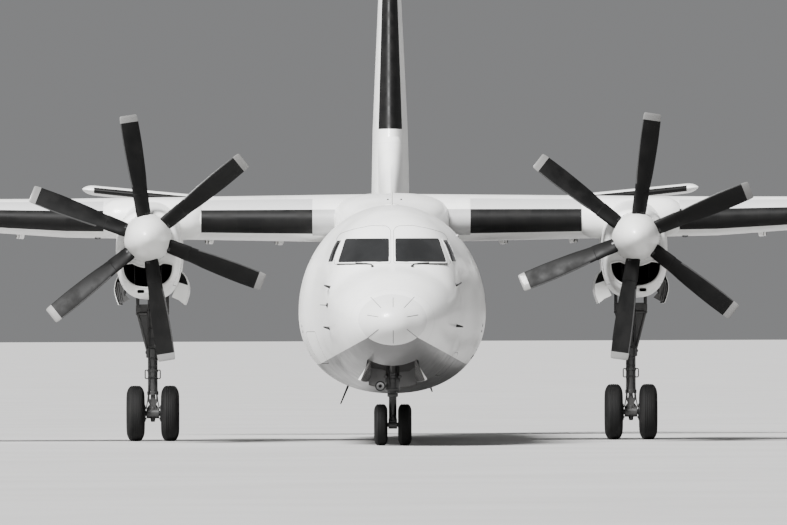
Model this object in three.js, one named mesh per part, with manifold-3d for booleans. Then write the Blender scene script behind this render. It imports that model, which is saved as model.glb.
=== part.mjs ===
// A high-wing twin turboprop airliner, parked on its landing gear.
// Millimetres, +Z up. The nose points along -Y and the left (port) wing along +X.
// Lengthwise places are stations: the distance aft of the nose tip.
// Pieces of the left side are built once, and those of the right side are their mirror images.
import * as THREE from "three";
import { mergeVertices } from "three/addons/utils/BufferGeometryUtils.js";
import Module from "manifold-3d";

const wasm = await Module();
wasm.setup();

// Driving dimensions
const LENGTH = 25247;
const SPAN = 29002;
const HEIGHT = 8317;
const WHEEL_TRACK = 7200;
const WHEELBASE = 9700;
const TAIL_SPAN = 9746;
const PROPELLER_RADIUS = 1830;
const SEAT_GAP = 0.3; // between fixed pieces that rest on each other
const PIN_GAP = 0.8; // between a pin and its bore
const MOVING_GAP = 9; // between a moving piece and its opening

// Lengthwise places, as stations
const NOSE_GEAR_S = 2200;
const MAIN_GEAR_S = NOSE_GEAR_S + WHEELBASE;
const QUARTER_CHORD_S = 10650;
const BLADE_S = 7450;
const NACELLE_X = WHEEL_TRACK / 2;
const THRUST_Z = 3030;

// Materials, from the photograph
const paint = (color, roughness, metalness = 0) => ({ color, roughness, metalness });
const WHITE = paint(0xf2f2f0, 0.3);
const BLADE_BLACK = paint(0x15161a, 0.5);
const GLASS = paint(0x1b1d20, 0.1);
const BARE_METAL = paint(0x8f9398, 0.35, 0.9);
const GEAR_GREY = paint(0x4b4e52, 0.5);
const TYRE_BLACK = paint(0x17171a, 0.85);
const ENGINE_METAL = paint(0x5d5853, 0.6, 0.7);

const yOf = (station) => station - LENGTH / 2;
const at = (x, station, z) => new THREE.Vector3(x, yOf(station), z);

// Solids

function solidOf(geometry) {
  const bare = geometry.index ? geometry.toNonIndexed() : geometry.clone();
  bare.deleteAttribute("normal");
  bare.deleteAttribute("uv");
  const merged = mergeVertices(bare, 1e-3);
  const corners = [];
  const index = merged.index.array;
  for (let i = 0; i < index.length; i += 3) {
    const [a, b, c] = [index[i], index[i + 1], index[i + 2]];
    if (a !== b && b !== c && c !== a) corners.push(a, b, c);
  }
  const triVerts = new Uint32Array(corners);
  const vertProperties = merged.attributes.position.array;
  return new wasm.Manifold(new wasm.Mesh({ numProp: 3, vertProperties, triVerts }));
}

function geometryOf(solid, mirrored) {
  const mesh = solid.getMesh();
  const positions = new Float32Array(mesh.numVert * 3);
  for (let i = 0; i < mesh.numVert; i++) {
    const [x, y, z] = mesh.vertProperties.subarray(i * mesh.numProp, i * mesh.numProp + 3);
    positions.set([mirrored ? -x : x, y, z], i * 3);
  }
  const corners = Array.from(mesh.triVerts);
  for (let i = 0; mirrored && i < corners.length; i += 3) {
    [corners[i + 1], corners[i + 2]] = [corners[i + 2], corners[i + 1]];
  }
  const geometry = new THREE.BufferGeometry();
  geometry.setAttribute("position", new THREE.BufferAttribute(positions, 3));
  geometry.setIndex(corners);
  return geometry;
}

const join = (solids) => solids.reduce((a, b) => a.add(b));
const cut = (solid, tools) => tools.reduce((a, b) => a.subtract(b), solid);
const overlap = (a, b) => a.intersect(b);

// A solid through rings of equally many points; its ends close onto a point each
function loft(rings, startPoint, endPoint) {
  const count = rings[0].length;
  const centre = (ring) =>
    ring.reduce((sum, p) => sum.add(p), new THREE.Vector3()).divideScalar(count);
  const points = [...rings.flat(), startPoint ?? centre(rings[0]), endPoint ?? centre(rings.at(-1))];
  const [startTip, endTip] = [points.length - 2, points.length - 1];
  const lastRing = (rings.length - 1) * count;
  const corners = [];
  for (let i = 0; i < count; i++) {
    const next = (i + 1) % count;
    for (let r = 0; r < lastRing; r += count) {
      corners.push(r + i, r + next, r + count + next, r + i, r + count + next, r + count + i);
    }
    corners.push(startTip, next, i, endTip, lastRing + i, lastRing + next);
  }
  let volume = 0;
  for (let i = 0; i < corners.length; i += 3) {
    const [a, b, c] = [0, 1, 2].map((k) => points[corners[i + k]]);
    volume += a.dot(new THREE.Vector3().crossVectors(b, c));
  }
  if (volume < 0) corners.reverse();
  const geometry = new THREE.BufferGeometry();
  geometry.setAttribute("position", new THREE.Float32BufferAttribute(points.flatMap((p) => p.toArray()), 3));
  geometry.setIndex(corners);
  return solidOf(geometry);
}

const block = (x, station, z) =>
  solidOf(
    new THREE.BoxGeometry(x[1] - x[0], station[1] - station[0], z[1] - z[0]).translate(
      (x[0] + x[1]) / 2,
      yOf((station[0] + station[1]) / 2),
      (z[0] + z[1]) / 2,
    ),
  );

// A convex outline carried sideways from x[0] to x[1]; its points are [station, z]
const sidePrism = (outline, x) => loft(x.map((side) => outline.map(([station, z]) => at(side, station, z))));

// A convex outline carried lengthwise; its points are [x, z]
const longPrism = (outline, stations) =>
  loft(stations.map((station) => outline.map(([x, z]) => at(x, station, z))));

function rod(from, to, radius, sides = 14, endRadius = radius) {
  const along = to.clone().sub(from);
  const turn = new THREE.Quaternion().setFromUnitVectors(new THREE.Vector3(0, 1, 0), along.clone().normalize());
  const middle = from.clone().add(to).divideScalar(2);
  const geometry = new THREE.CylinderGeometry(endRadius, radius, along.length(), sides);
  return solidOf(geometry.applyQuaternion(turn).translate(...middle.toArray()));
}

// A profile of [radius, place along the axis], turned about the axis through the centre
function turned(profile, centre, axis, sides, start = 0) {
  const points = profile.map(([radius, place]) => new THREE.Vector2(radius, place));
  const turn = new THREE.Quaternion().setFromUnitVectors(new THREE.Vector3(0, 1, 0), axis);
  const geometry = new THREE.LatheGeometry(points, sides, start);
  return solidOf(geometry.applyQuaternion(turn).translate(...centre.toArray()));
}
const SIDEWAYS = new THREE.Vector3(1, 0, 0);
const AFT = new THREE.Vector3(0, 1, 0);

// Round-bodied forms: station, half width, and the heights of the bottom, widest place and top

function bodyRing([station, halfWidth, bottom, middle, top], options = {}) {
  const { x = 0, grow = 0, power = 2, below = power, sides = 26 } = options;
  const bend = (value, squareness) => Math.sign(value) * Math.abs(value) ** (2 / squareness);
  return Array.from({ length: sides }, (_, i) => {
    const angle = (2 * Math.PI * (i + 0.5)) / sides;
    const squareness = Math.sin(angle) > 0 ? power : below;
    const across = bend(Math.cos(angle), squareness);
    const up = bend(Math.sin(angle), squareness);
    const height = (up > 0 ? top - middle : middle - bottom) + grow;
    return at(x + across * (halfWidth + grow), station, middle + up * height);
  });
}

const BODY = [
  // station, half width, bottom, widest place, top, squareness above and below the widest place
  [30, 150, 1655, 1768, 1885, 2, 2],
  [140, 310, 1535, 1770, 2005, 2, 2],
  [300, 465, 1425, 1780, 2105, 2, 2],
  [520, 580, 1290, 1800, 2225, 2, 2],
  [850, 705, 1150, 1835, 2355, 2, 2],
  [1250, 815, 1015, 1885, 2490, 2, 2],
  [1700, 905, 920, 1930, 2605, 2, 2],
  [1960, 945, 880, 1945, 2810, 2.1, 2.05],
  [2230, 985, 850, 1960, 2995, 2.2, 2.1],
  [2750, 1035, 805, 1965, 3260, 2.25, 2.15],
  [3400, 1160, 765, 1950, 3415, 2.05, 2.2],
  [4050, 1320, 745, 1935, 3470, 2, 2.2],
  [4700, 1360, 740, 1930, 3480, 2, 2.2],
  [16200, 1360, 740, 1930, 3480, 2, 2.2],
  [17600, 1345, 850, 1990, 3480, 2, 2.15],
  [19000, 1255, 1150, 2150, 3478, 2, 2.1],
  [20500, 1075, 1610, 2370, 3470, 2, 2],
  [22000, 840, 2060, 2600, 3445, 2, 2],
  [23500, 560, 2490, 2850, 3390, 2, 2],
  [24600, 310, 2790, 3010, 3310, 2, 2],
  [25130, 150, 2935, 3070, 3215, 2, 2],
];
const body = (inset = 0) =>
  loft(
    BODY.map(([station, ...rest]) =>
      bodyRing([station + inset, ...rest], { grow: -inset, power: rest[4], below: rest[5] }),
    ),
    at(0, inset, 1768),
    at(0, LENGTH - inset, 3080),
  );

const SADDLE = [
  // station, half width, bottom, widest place, top
  [8500, 350, 3000, 3200, 3440],
  [9000, 820, 2900, 3150, 3530],
  [9600, 1120, 2800, 3120, 3660],
  [10100, 1190, 2750, 3100, 3725],
  [11000, 1215, 2750, 3100, 3745],
  [12500, 1190, 2750, 3100, 3700],
  [13700, 1010, 2800, 3100, 3600],
  [15300, 450, 3000, 3200, 3450],
];
const saddle = loft(SADDLE.map((row) => bodyRing(row, { power: 2.8, sides: 18 })));

// Wing and tail sections

const UPPER = [1, 0.8, 0.6, 0.42, 0.27, 0.14, 0.05, 0.012, 0];
const EDGE = 4; // half thickness of a trailing edge

const halfThickness = (f, chord, ratio) =>
  5 * ratio * chord * (0.2969 * Math.sqrt(f) - 0.126 * f - 0.3516 * f ** 2 + 0.2843 * f ** 3 - 0.1036 * f ** 4) +
  EDGE * f;

// Points of a section, as [station, height off its chord line]
function sectionPoints({ lead, chord, ratio, camber = 0 }, grow) {
  const point = (f, side) => {
    const station = lead + f * chord + (f === 1 ? grow : f === 0 ? -grow : 0);
    const thick = f === 0 ? 0 : halfThickness(f, chord, ratio) + grow;
    return [station, 4 * camber * chord * f * (1 - f) + side * thick];
  };
  return [...UPPER.map((f) => point(f, 1)), ...UPPER.slice(0, -1).reverse().map((f) => point(f, -1))];
}

// A wing-like surface from sections across the span
const span = (sections, grow = 0) =>
  loft(sections.map((row) => sectionPoints(row, grow).map(([station, up]) => at(row.x, station, row.z + up))));

const WING_CAMBER = 0.015;
const wingSection = (x, middle, ratio, shrink = 1) => {
  const chord = (3464 - (2064 * Math.abs(x)) / 14500) * (shrink < 1 ? 0.9 + 0.1 * shrink : 1);
  const lead = QUARTER_CHORD_S - 0.25 * chord;
  return { x, z: middle - 0.9 * WING_CAMBER * chord, lead, chord, ratio: ratio * shrink, camber: WING_CAMBER };
};
const PANEL_JOINT_X = 4870;
const CENTRE_SECTIONS = [wingSection(0, 3338, 0.212), wingSection(PANEL_JOINT_X, 3358, 0.209)];
const OUTER_SECTIONS = [
  wingSection(PANEL_JOINT_X + SEAT_GAP, 3370, 0.191),
  wingSection(6200, 3402, 0.187),
  wingSection(14050, 3690, 0.152),
  wingSection(14350, 3715, 0.152, 0.8),
  wingSection(SPAN / 2, 3742, 0.152, 0.35),
];

// A place on a surface between two of its sections: the chord fraction f of the mean line at x
function placeOn(sections, x, f) {
  const next = sections.findIndex((row) => row.x >= x);
  const [a, b] = [sections[next - 1], sections[next]];
  const mix = (key) => THREE.MathUtils.mapLinear(x, a.x, b.x, a[key] ?? 0, b[key] ?? 0);
  const [chord, ratio] = [mix("chord"), mix("ratio")];
  const z = mix("z") + 4 * mix("camber") * chord * f * (1 - f);
  return { point: at(x, mix("lead") + f * chord, z), half: halfThickness(f, chord, ratio) };
}

// A frame whose first axis runs along a hinge line and whose second points aft
function hingeFrame(from, to) {
  const along = to.clone().sub(from).normalize();
  const up = new THREE.Vector3().crossVectors(along, AFT).normalize();
  const aft = new THREE.Vector3().crossVectors(up, along);
  const matrix = new THREE.Matrix4().makeBasis(along, aft, up).setPosition(from);
  return { place: (geometry) => solidOf(geometry.applyMatrix4(matrix)), length: from.distanceTo(to) };
}
const aftSlab = (frame, low, high) =>
  frame.place(new THREE.BoxGeometry(high - low, 3000, 1600).translate((low + high) / 2, 1500, 0));
const hingeRound = (frame, low, high, radii, grow, sides = 24) => {
  const round = new THREE.CylinderGeometry(radii[1] + grow, radii[0] + grow, high - low, sides);
  return frame.place(round.rotateZ(-Math.PI / 2).translate((low + high) / 2, 0, 0));
};

// A control surface with a rounded nose, cut out of the whole and hung on a pin at each end
function controlSurface(whole, from, to, between = []) {
  const frame = hingeFrame(from.point, to.point);
  const { length } = frame;
  const places = [from, ...between, to];
  const rounds = (grow, reach) =>
    join(
      places.slice(1).map((end, i) => {
        const [low, high] = [places[i], end].map((place) => place.point.distanceTo(from.point));
        const ends = [low - (i === 0 ? reach : 0), high + (end === to ? reach : 0)];
        return hingeRound(frame, ...ends, [places[i].half - 2, end.half - 2], grow);
      }),
    );
  const nose = rounds(0, 0);
  const cove = rounds(MOVING_GAP, MOVING_GAP);
  const pins = [];
  const bores = [];
  for (const [low, high] of [[-40, 45], [length - 45, length + 40]]) {
    pins.push(hingeRound(frame, low, high, [15, 15], 0, 12));
    bores.push(hingeRound(frame, low - 10, high + 10, [15, 15], PIN_GAP, 12));
  }
  const moving = cut(overlap(whole, join([aftSlab(frame, 0, length), nose])), bores);
  const fixed = cut(whole, [aftSlab(frame, -MOVING_GAP, length + MOVING_GAP), cove]);
  return { fixed: join([fixed, ...pins]), moving };
}

// A flap cut out of the whole, on arms that hang it from brackets below the wing
const FLAP_DROP = 140; // from the lower skin down to the hinge line
const FLAP_PIN = 20;
const BRACKET = [[-620, 260], [-330, 10], [-20, -46], [44, -20], [30, 42], [-100, 260]];
const ARM = [[-44, 10], [-24, -42], [30, -42], [460, 160], [420, 240], [45, 240]];
function flap(whole, from, to) {
  const drop = (place) => place.point.clone().add(new THREE.Vector3(0, 0, -place.half - FLAP_DROP));
  const frame = hingeFrame(drop(from), drop(to));
  const { length } = frame;
  const plate = (outline, low, high) =>
    frame.place(
      new THREE.ExtrudeGeometry(new THREE.Shape(outline.map(([aft, up]) => new THREE.Vector2(aft, up))), {
        depth: high - low,
        bevelEnabled: false,
      }).applyMatrix4(new THREE.Matrix4().set(0, 0, 1, low, 1, 0, 0, 0, 0, 1, 0, 0, 0, 0, 0, 1)),
    );
  const brackets = [];
  const arms = [];
  const bores = [];
  for (const place of [0.16, 0.84]) {
    const middle = place * length;
    brackets.push(plate(BRACKET, middle - 30, middle + 30));
    brackets.push(hingeRound(frame, middle - 20, middle + 76, [FLAP_PIN, FLAP_PIN], 0, 12));
    arms.push(plate(ARM, middle + 39, middle + 69));
    bores.push(hingeRound(frame, middle + 20, middle + 90, [FLAP_PIN, FLAP_PIN], PIN_GAP, 12));
  }
  const moving = cut(join([overlap(whole, aftSlab(frame, 0, length)), ...arms]), bores);
  const gap = frame.place(
    new THREE.BoxGeometry(length + 2 * MOVING_GAP, 3000, 1600).translate(length / 2, 1500 - MOVING_GAP, 0),
  );
  return { moving, gap, bracket: join(brackets) };
}

// Pieces: name, material, solid, its own origin, and whether the right side mirrors it
const aircraft = new THREE.Group();
aircraft.name = "turboprop_airliner";

function addMesh(name, look, solid, origin, mirrored) {
  const pivot = new THREE.Vector3(mirrored ? -origin.x : origin.x, origin.y, origin.z);
  const geometry = geometryOf(solid, mirrored).translate(-pivot.x, -pivot.y, -pivot.z);
  const mesh = new THREE.Mesh(geometry, new THREE.MeshStandardMaterial(look));
  mesh.name = name;
  mesh.position.copy(pivot);
  aircraft.add(mesh);
}
const addOne = (name, look, solid, origin = at(0, 0, 0)) => addMesh(name, look, solid, origin, false);
function addPair(name, look, solid, origin = at(0, 0, 0)) {
  addMesh(`${name}_left`, look, solid, origin, false);
  addMesh(`${name}_right`, look, solid, origin, true);
}

// Wing

const FLAP_FRACTION = 0.69;
const AILERON_FRACTION = 0.73;
const mirrored = (solid) => solidOf(geometryOf(solid, true));
const bothSides = (solid) => join([solid, mirrored(solid)]);

const wingCentreWhole = bothSides(span(CENTRE_SECTIONS));
const wingCentreSlot = bothSides(span(CENTRE_SECTIONS, SEAT_GAP));
const innerFlapEnds = [1430, 2975].map((x) => placeOn(CENTRE_SECTIONS, x, FLAP_FRACTION));
const innerFlap = flap(wingCentreWhole, ...innerFlapEnds);
const wingCentre = join([
  cut(wingCentreWhole, [innerFlap.gap, mirrored(innerFlap.gap)]),
  innerFlap.bracket,
  mirrored(innerFlap.bracket),
]);

const wingOuterWhole = span(OUTER_SECTIONS);
const outerFlapEnds = [4985, 8650].map((x) => placeOn(OUTER_SECTIONS, x, FLAP_FRACTION));
const aileronEnds = [8900, 13850].map((x) => placeOn(OUTER_SECTIONS, x, AILERON_FRACTION));
const aileron = controlSurface(wingOuterWhole, ...aileronEnds);
const outerFlap = flap(wingOuterWhole, ...outerFlapEnds);
const wingOuter = join([cut(aileron.fixed, [outerFlap.gap]), outerFlap.bracket]);

addOne("wing_centre", WHITE, wingCentre);
addPair("wing_outer", WHITE, wingOuter, at(PANEL_JOINT_X, QUARTER_CHORD_S, 3370));
addPair("flap_inner", WHITE, innerFlap.moving);
addPair("flap_outer", WHITE, outerFlap.moving);
addPair("aileron", WHITE, aileron.moving);

// Tailplane and elevators

const tailSection = (x, shrink = 1) => ({
  x,
  z: 3400 + x * Math.tan(THREE.MathUtils.degToRad(6)),
  lead: 21950 + (500 * x) / 4873 + (1 - shrink) * 60,
  chord: (2100 - (850 * x) / 4873) * (0.85 + 0.15 * shrink),
  ratio: 0.12 * shrink,
});
const TAIL_SECTIONS = [
  tailSection(20),
  tailSection(4690),
  tailSection(4820, 0.75),
  { ...tailSection(TAIL_SPAN / 2, 0.35) },
];
const tailWhole = span(TAIL_SECTIONS);
const tailSlot = bothSides(span(TAIL_SECTIONS, SEAT_GAP));
const elevatorEnds = [780, 4580].map((x) => placeOn(TAIL_SECTIONS, x, 0.64));
const elevator = controlSurface(tailWhole, ...elevatorEnds);
addPair("tailplane", WHITE, elevator.fixed, at(0, 22500, 3400));
addPair("elevator", WHITE, elevator.moving);

// Fin and rudder

const finSection = (z, ratio, shrink = 1) => {
  const lead = THREE.MathUtils.mapLinear(z, 3200, 8250, 20100, 22450);
  const chord = THREE.MathUtils.mapLinear(z, 3200, 8250, 4450, 1500) * (0.88 + 0.12 * shrink);
  return { height: z, lead: lead + (1 - shrink) * 90, chord, ratio: ratio * shrink };
};
const FIN_SECTIONS = [
  finSection(3200, 0.135),
  finSection(3900, 0.1455),
  finSection(4880, 0.158),
  finSection(6910, 0.158),
  finSection(8130, 0.15),
  finSection(8250, 0.15, 0.75),
  finSection(HEIGHT, 0.15, 0.35),
];
const finWhole = loft(
  FIN_SECTIONS.map((row) => sectionPoints(row, 0).map(([station, side]) => at(side, station, row.height))),
);
const DORSAL = [
  // station, half width, height of the ridge
  [17000, 20, 3490],
  [18600, 70, 3700],
  [20000, 105, 4150],
  [20900, 130, 4780],
];
const dorsal = loft(
  DORSAL.map(([station, half, ridge]) =>
    [[-half * 1.6, 3200], [half * 1.6, 3200], [half * 1.2, ridge - 160], [half * 0.5, ridge], [-half * 0.5, ridge], [-half * 1.2, ridge - 160]].map(
      ([x, z]) => at(x, station, z),
    ),
  ),
);
const RUDDER_HINGE = [[3760, 0.66], [8050, 0.62]]; // height, chord fraction
const rudderStation = (z) => {
  const [low, high] = RUDDER_HINGE.map(([height, f]) => {
    const { lead, chord } = finSection(height, 0);
    return lead + f * chord;
  });
  return THREE.MathUtils.mapLinear(z, RUDDER_HINGE[0][0], RUDDER_HINGE[1][0], low, high);
};
const rudderPlaces = [RUDDER_HINGE[0][0], 4880, 6910, RUDDER_HINGE[1][0]].map((z) => {
  const next = FIN_SECTIONS.findIndex((row) => row.height >= z);
  const [a, b] = [FIN_SECTIONS[next - 1], FIN_SECTIONS[next]];
  const ratio = THREE.MathUtils.mapLinear(z, a.height, b.height, a.ratio, b.ratio);
  const { lead, chord } = finSection(z, 0);
  const station = rudderStation(z);
  return { point: at(0, station, z), half: halfThickness((station - lead) / chord, chord, ratio) };
});
const rudder = controlSurface(finWhole, rudderPlaces[0], rudderPlaces[3], rudderPlaces.slice(1, 3));
const bodyGrown = body(-SEAT_GAP);
addOne("fin", WHITE, cut(join([rudder.fixed, dorsal]), [bodyGrown, tailSlot]), at(0, 22000, 3480));
addOne("rudder", WHITE, rudder.moving);

// Fuselage, radome, glazing and airstair door

const RADOME_CUT = [[-600, 500], [95, 500], [658, 3500], [-600, 3500]];
const radomeSpace = (shift) =>
  sidePrism(RADOME_CUT.map(([station, z]) => [station === -600 ? station : station + shift, z]), [-2000, 2000]);
const bodyWhole = body();
addOne("radome", WHITE, overlap(bodyWhole, radomeSpace(0)));

const GLASS_THICKNESS = 24;
const PANE_REACH = 130; // from a pane's middle to its nearest edge
const grown = (outline, gap) => {
  const middle = [0, 1].map((k) => outline.reduce((sum, p) => sum + p[k], 0) / outline.length);
  return outline.map((p) => p.map((value, k) => middle[k] + (value - middle[k]) * (1 + gap / PANE_REACH)));
};
const WINDSCREEN = [[65, 2640], [770, 2640], [665, 2970], [65, 2970]]; // x, z
const SIDE_WINDOW = [[2450, 2650], [2765, 2650], [3005, 2945], [2750, 2945]]; // station, z
const WINDSCREEN_REACH = [[1300, 2600], [2185, 2600], [2688, 3000], [1300, 3000]]; // station, z
const windscreenSpace = (gap) =>
  overlap(
    longPrism(grown(WINDSCREEN, gap), [1200, 2900]),
    sidePrism(WINDSCREEN_REACH.map(([station, z]) => [station + gap, z]), [0, 1000]),
  );
const sideWindowSpace = (gap) => sidePrism(grown(SIDE_WINDOW, gap), [450, 1500]);
const behindGlass = body(GLASS_THICKNESS);
const behindPocket = body(GLASS_THICKNESS + 2);
const panePockets = [];
for (const [name, space] of [["windscreen", windscreenSpace], ["side_window", sideWindowSpace]]) {
  for (const [side, turn] of [["left", (solid) => solid], ["right", mirrored]]) {
    addOne(`${name}_${side}`, GLASS, overlap(bodyWhole, cut(turn(space(0)), [behindGlass])));
    panePockets.push(cut(turn(space(SEAT_GAP)), [behindPocket]));
  }
}

const DOOR_S = [4250, 5000];
const DOOR_Z = [1290, 2980];
const DOOR_THICKNESS = 60;
const DOOR_HINGE_X = 1155;
const DOOR_KNUCKLE = 26;
const doorHinge = (low, high, radius, sides = 12) =>
  rod(at(DOOR_HINGE_X, low, DOOR_Z[0]), at(DOOR_HINGE_X, high, DOOR_Z[0]), radius, sides);
const doorSpace = (gap) =>
  block([600, 1600], [DOOR_S[0] - gap, DOOR_S[1] + gap], [DOOR_Z[0], DOOR_Z[1] + gap]);
const doorPins = [[DOOR_S[0] - 40, DOOR_S[0] + 50], [DOOR_S[1] - 50, DOOR_S[1] + 40]];
const doorPanel = overlap(bodyWhole, cut(doorSpace(0), [body(DOOR_THICKNESS)]));
addOne(
  "airstair_door",
  WHITE,
  cut(join([doorPanel, doorHinge(...DOOR_S, DOOR_KNUCKLE)]), [
    ...doorPins.map(([low, high]) => doorHinge(low - 10, high + 10, 12 + PIN_GAP)),
  ]),
  at(DOOR_HINGE_X, (DOOR_S[0] + DOOR_S[1]) / 2, DOOR_Z[0]),
);
const doorRecess = cut(doorSpace(MOVING_GAP), [body(DOOR_THICKNESS + MOVING_GAP)]);
const doorGroove = doorHinge(DOOR_S[0] - MOVING_GAP, DOOR_S[1] + MOVING_GAP, 60, 16);
const vestibule = block([640, 1500], [DOOR_S[0] + 50, DOOR_S[1] - 50], [1300, 2930]);

const NOSE_BAY_X = 345;
const noseBay = block([-NOSE_BAY_X, NOSE_BAY_X], [850, 2620], [300, 1500]);
const fuselage = cut(join([bodyWhole, saddle]), [
  radomeSpace(SEAT_GAP),
  wingCentreSlot,
  tailSlot,
  ...panePockets,
  doorRecess,
  doorGroove,
  vestibule,
  noseBay,
]);
addOne("fuselage", WHITE, join([fuselage, ...doorPins.map(([low, high]) => doorHinge(low, high, 12))]));

// Nacelles, engines and exhausts, for the left side

const NACELLE = [
  // station, half width, bottom, widest place, top, squareness
  [7645, 368, 2600, 3000, 3398, 2],
  [7665, 415, 2240, 2920, 3414, 2.2],
  [7730, 452, 2185, 2890, 3432, 2.5],
  [7950, 474, 2150, 2850, 3455, 2.6],
  [8500, 484, 2132, 2810, 3490, 2.6],
  [9400, 480, 2130, 2800, 3545, 2.6],
  [10200, 470, 2130, 2800, 3605, 2.6],
  [10900, 464, 2130, 2800, 3625, 2.6],
  [12000, 464, 2150, 2820, 3550, 2.6],
  [12960, 455, 2330, 2880, 3480, 2.4],
  [13800, 360, 2590, 2960, 3390, 2.2],
  [14600, 200, 2850, 3060, 3280, 2],
  [15050, 60, 3030, 3120, 3200, 2],
];
const nacelleBody = loft(
  NACELLE.map((row) => bodyRing(row, { x: NACELLE_X, power: row[5], sides: 20 })),
);
const GLOVE_X = [2840, 4300];
const glove = span(
  GLOVE_X.map((x) => {
    const row = wingSection(x, 3352, 0.214);
    return { ...row, lead: row.lead - 110, chord: row.chord * 0.42, ratio: 0.5 };
  }),
);
const thrustPoint = (station) => at(NACELLE_X, station, THRUST_Z);
const ENGINE_BAY = 340;
const ENGINE_S = [7760, 9880];
const engineBay = rod(thrustPoint(7500), thrustPoint(ENGINE_S[1] + SEAT_GAP), ENGINE_BAY, 16);
const intakeMouth = [370, 2277, 2465, 2652]; // half width, bottom, widest place, top
const intake = cut(
  loft([7500, 8900].map((station) => bodyRing([station, ...intakeMouth], { x: NACELLE_X, power: 2.4, sides: 18 }))),
  [rod(thrustPoint(7400), thrustPoint(9000), 430, 24)],
);
const exhaustLine = [at(NACELLE_X + 330, 9250, 2640), at(NACELLE_X + 385, 10150, 2640)];
const exhaustAlong = exhaustLine[1].clone().sub(exhaustLine[0]).normalize();
const onExhaust = (end, distance) => exhaustLine[end].clone().addScaledVector(exhaustAlong, distance);
const exhaustPipe = cut(rod(...exhaustLine, 165, 16), [rod(onExhaust(0, 60), onExhaust(1, 50), 148, 16)]);
const exhaustSeat = rod(onExhaust(0, -SEAT_GAP), onExhaust(1, 400), 165 + SEAT_GAP, 16);
const BAY_X = [NACELLE_X - 420, NACELLE_X + 420];
const BAY_S = [10750, 12950];
const DOOR_LINE_Z = 2550;
const wheelBay = block(BAY_X, BAY_S, [1000, 2980]);
const doorOpening = block([2500, 4700], BAY_S, [1000, DOOR_LINE_Z]);
const nacelle = cut(join([nacelleBody, glove]), [
  wingCentreSlot,
  engineBay,
  intake,
  exhaustSeat,
  wheelBay,
  doorOpening,
]);
addPair("nacelle", WHITE, nacelle, at(NACELLE_X, 10000, 2800));
const SHAFT = 60;
addPair(
  "engine",
  ENGINE_METAL,
  cut(rod(thrustPoint(ENGINE_S[0]), thrustPoint(ENGINE_S[1]), 310, 16), [
    rod(thrustPoint(7700), thrustPoint(7830), SHAFT + PIN_GAP, 24),
  ]),
  thrustPoint(8900),
);
addPair("exhaust", BARE_METAL, exhaustPipe, exhaustLine[0]);

// Propellers and spinners; both turn the same way

const BLADES = 6;
const BLADE = [
  // radius, chord, thickness, angle to the disc
  [374, 282, 92, 43],
  [620, 284, 66, 39],
  [900, 304, 46, 35],
  [1400, 316, 28, 29],
  [PROPELLER_RADIUS, 284, 14, 25],
];
const blade = loft(
  BLADE.map(([radius, chord, thickness, angle]) => {
    const pitch = THREE.MathUtils.degToRad(angle);
    return [0, 60, 120, 180, 240, 300].map((degrees) => {
      const turn = THREE.MathUtils.degToRad(degrees);
      const [a, b] = [(chord / 2) * Math.cos(turn), (thickness / 2) * Math.sin(turn)];
      return new THREE.Vector3(a * Math.cos(pitch) - b * Math.sin(pitch), a * Math.sin(pitch) + b * Math.cos(pitch), radius);
    });
  }),
);
const SPINNER = [
  // radius, station
  [0, 6800], [115, 6850], [235, 7030], [325, 7320], [362, 7620], [0, 7620],
];
const CLOCK = { left: 8, right: -8.8 }; // degrees that a blade stands off the vertical
for (const [side, sign] of [["left", 1], ["right", -1]]) {
  const hubPoint = (station) => at(sign * NACELLE_X, station, THRUST_Z);
  const angles = Array.from({ length: BLADES }, (_, i) => THREE.MathUtils.degToRad(CLOCK[side] + (360 / BLADES) * i));
  const radial = (angle, radius) =>
    hubPoint(BLADE_S).add(new THREE.Vector3(radius * Math.sin(angle), 0, radius * Math.cos(angle)));
  const roots = (radius) => angles.map((angle) => rod(radial(angle, 100), radial(angle, 420), radius, 8));
  const blades = angles.map((angle) =>
    solidOf(geometryOf(blade, false).rotateY(angle).translate(...hubPoint(BLADE_S).toArray())),
  );
  const hub = rod(hubPoint(7300), hubPoint(7600), 215, 16);
  const shaft = rod(hubPoint(7580), hubPoint(7815), SHAFT, 24);
  const propeller = join([hub, shaft, ...roots(66), ...blades]);
  const spinnerWhole = turned(
    SPINNER.map(([radius, station]) => [radius, station - 7000]),
    hubPoint(7000),
    AFT,
    20,
  );
  const spinner = cut(spinnerWhole, [
    rod(hubPoint(7300 - SEAT_GAP), hubPoint(7700), 215 + SEAT_GAP, 16),
    ...roots(66 + 8),
  ]);
  addOne(`propeller_${side}`, BLADE_BLACK, propeller, hubPoint(BLADE_S));
  addOne(`spinner_${side}`, WHITE, spinner, hubPoint(BLADE_S));
}

// Wheels: profiles of [radius, place along the axle]

// Each wheel rests on one of its flats, which stands at the stated radius
const WHEEL_SIDES = 20;
const toCorner = 1 / Math.cos(Math.PI / WHEEL_SIDES);
function wheelPart(half, centre) {
  const profile = [...half, ...half.map(([radius, place]) => [radius, -place]).reverse(), half[0]];
  const corners = profile.map(([radius, place]) => [radius * toCorner, place]);
  return turned(corners, centre, SIDEWAYS, WHEEL_SIDES, Math.PI / WHEEL_SIDES);
}
function wheelPair({ centre, offset, tyre, rim }) {
  return [1, -1].map((way) => {
    const middle = centre.clone().add(new THREE.Vector3(way * offset, 0, 0));
    return { tyre: wheelPart(tyre, middle), rim: wheelPart(rim, middle), centre: middle };
  });
}

// Main landing gear, for the left side

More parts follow.
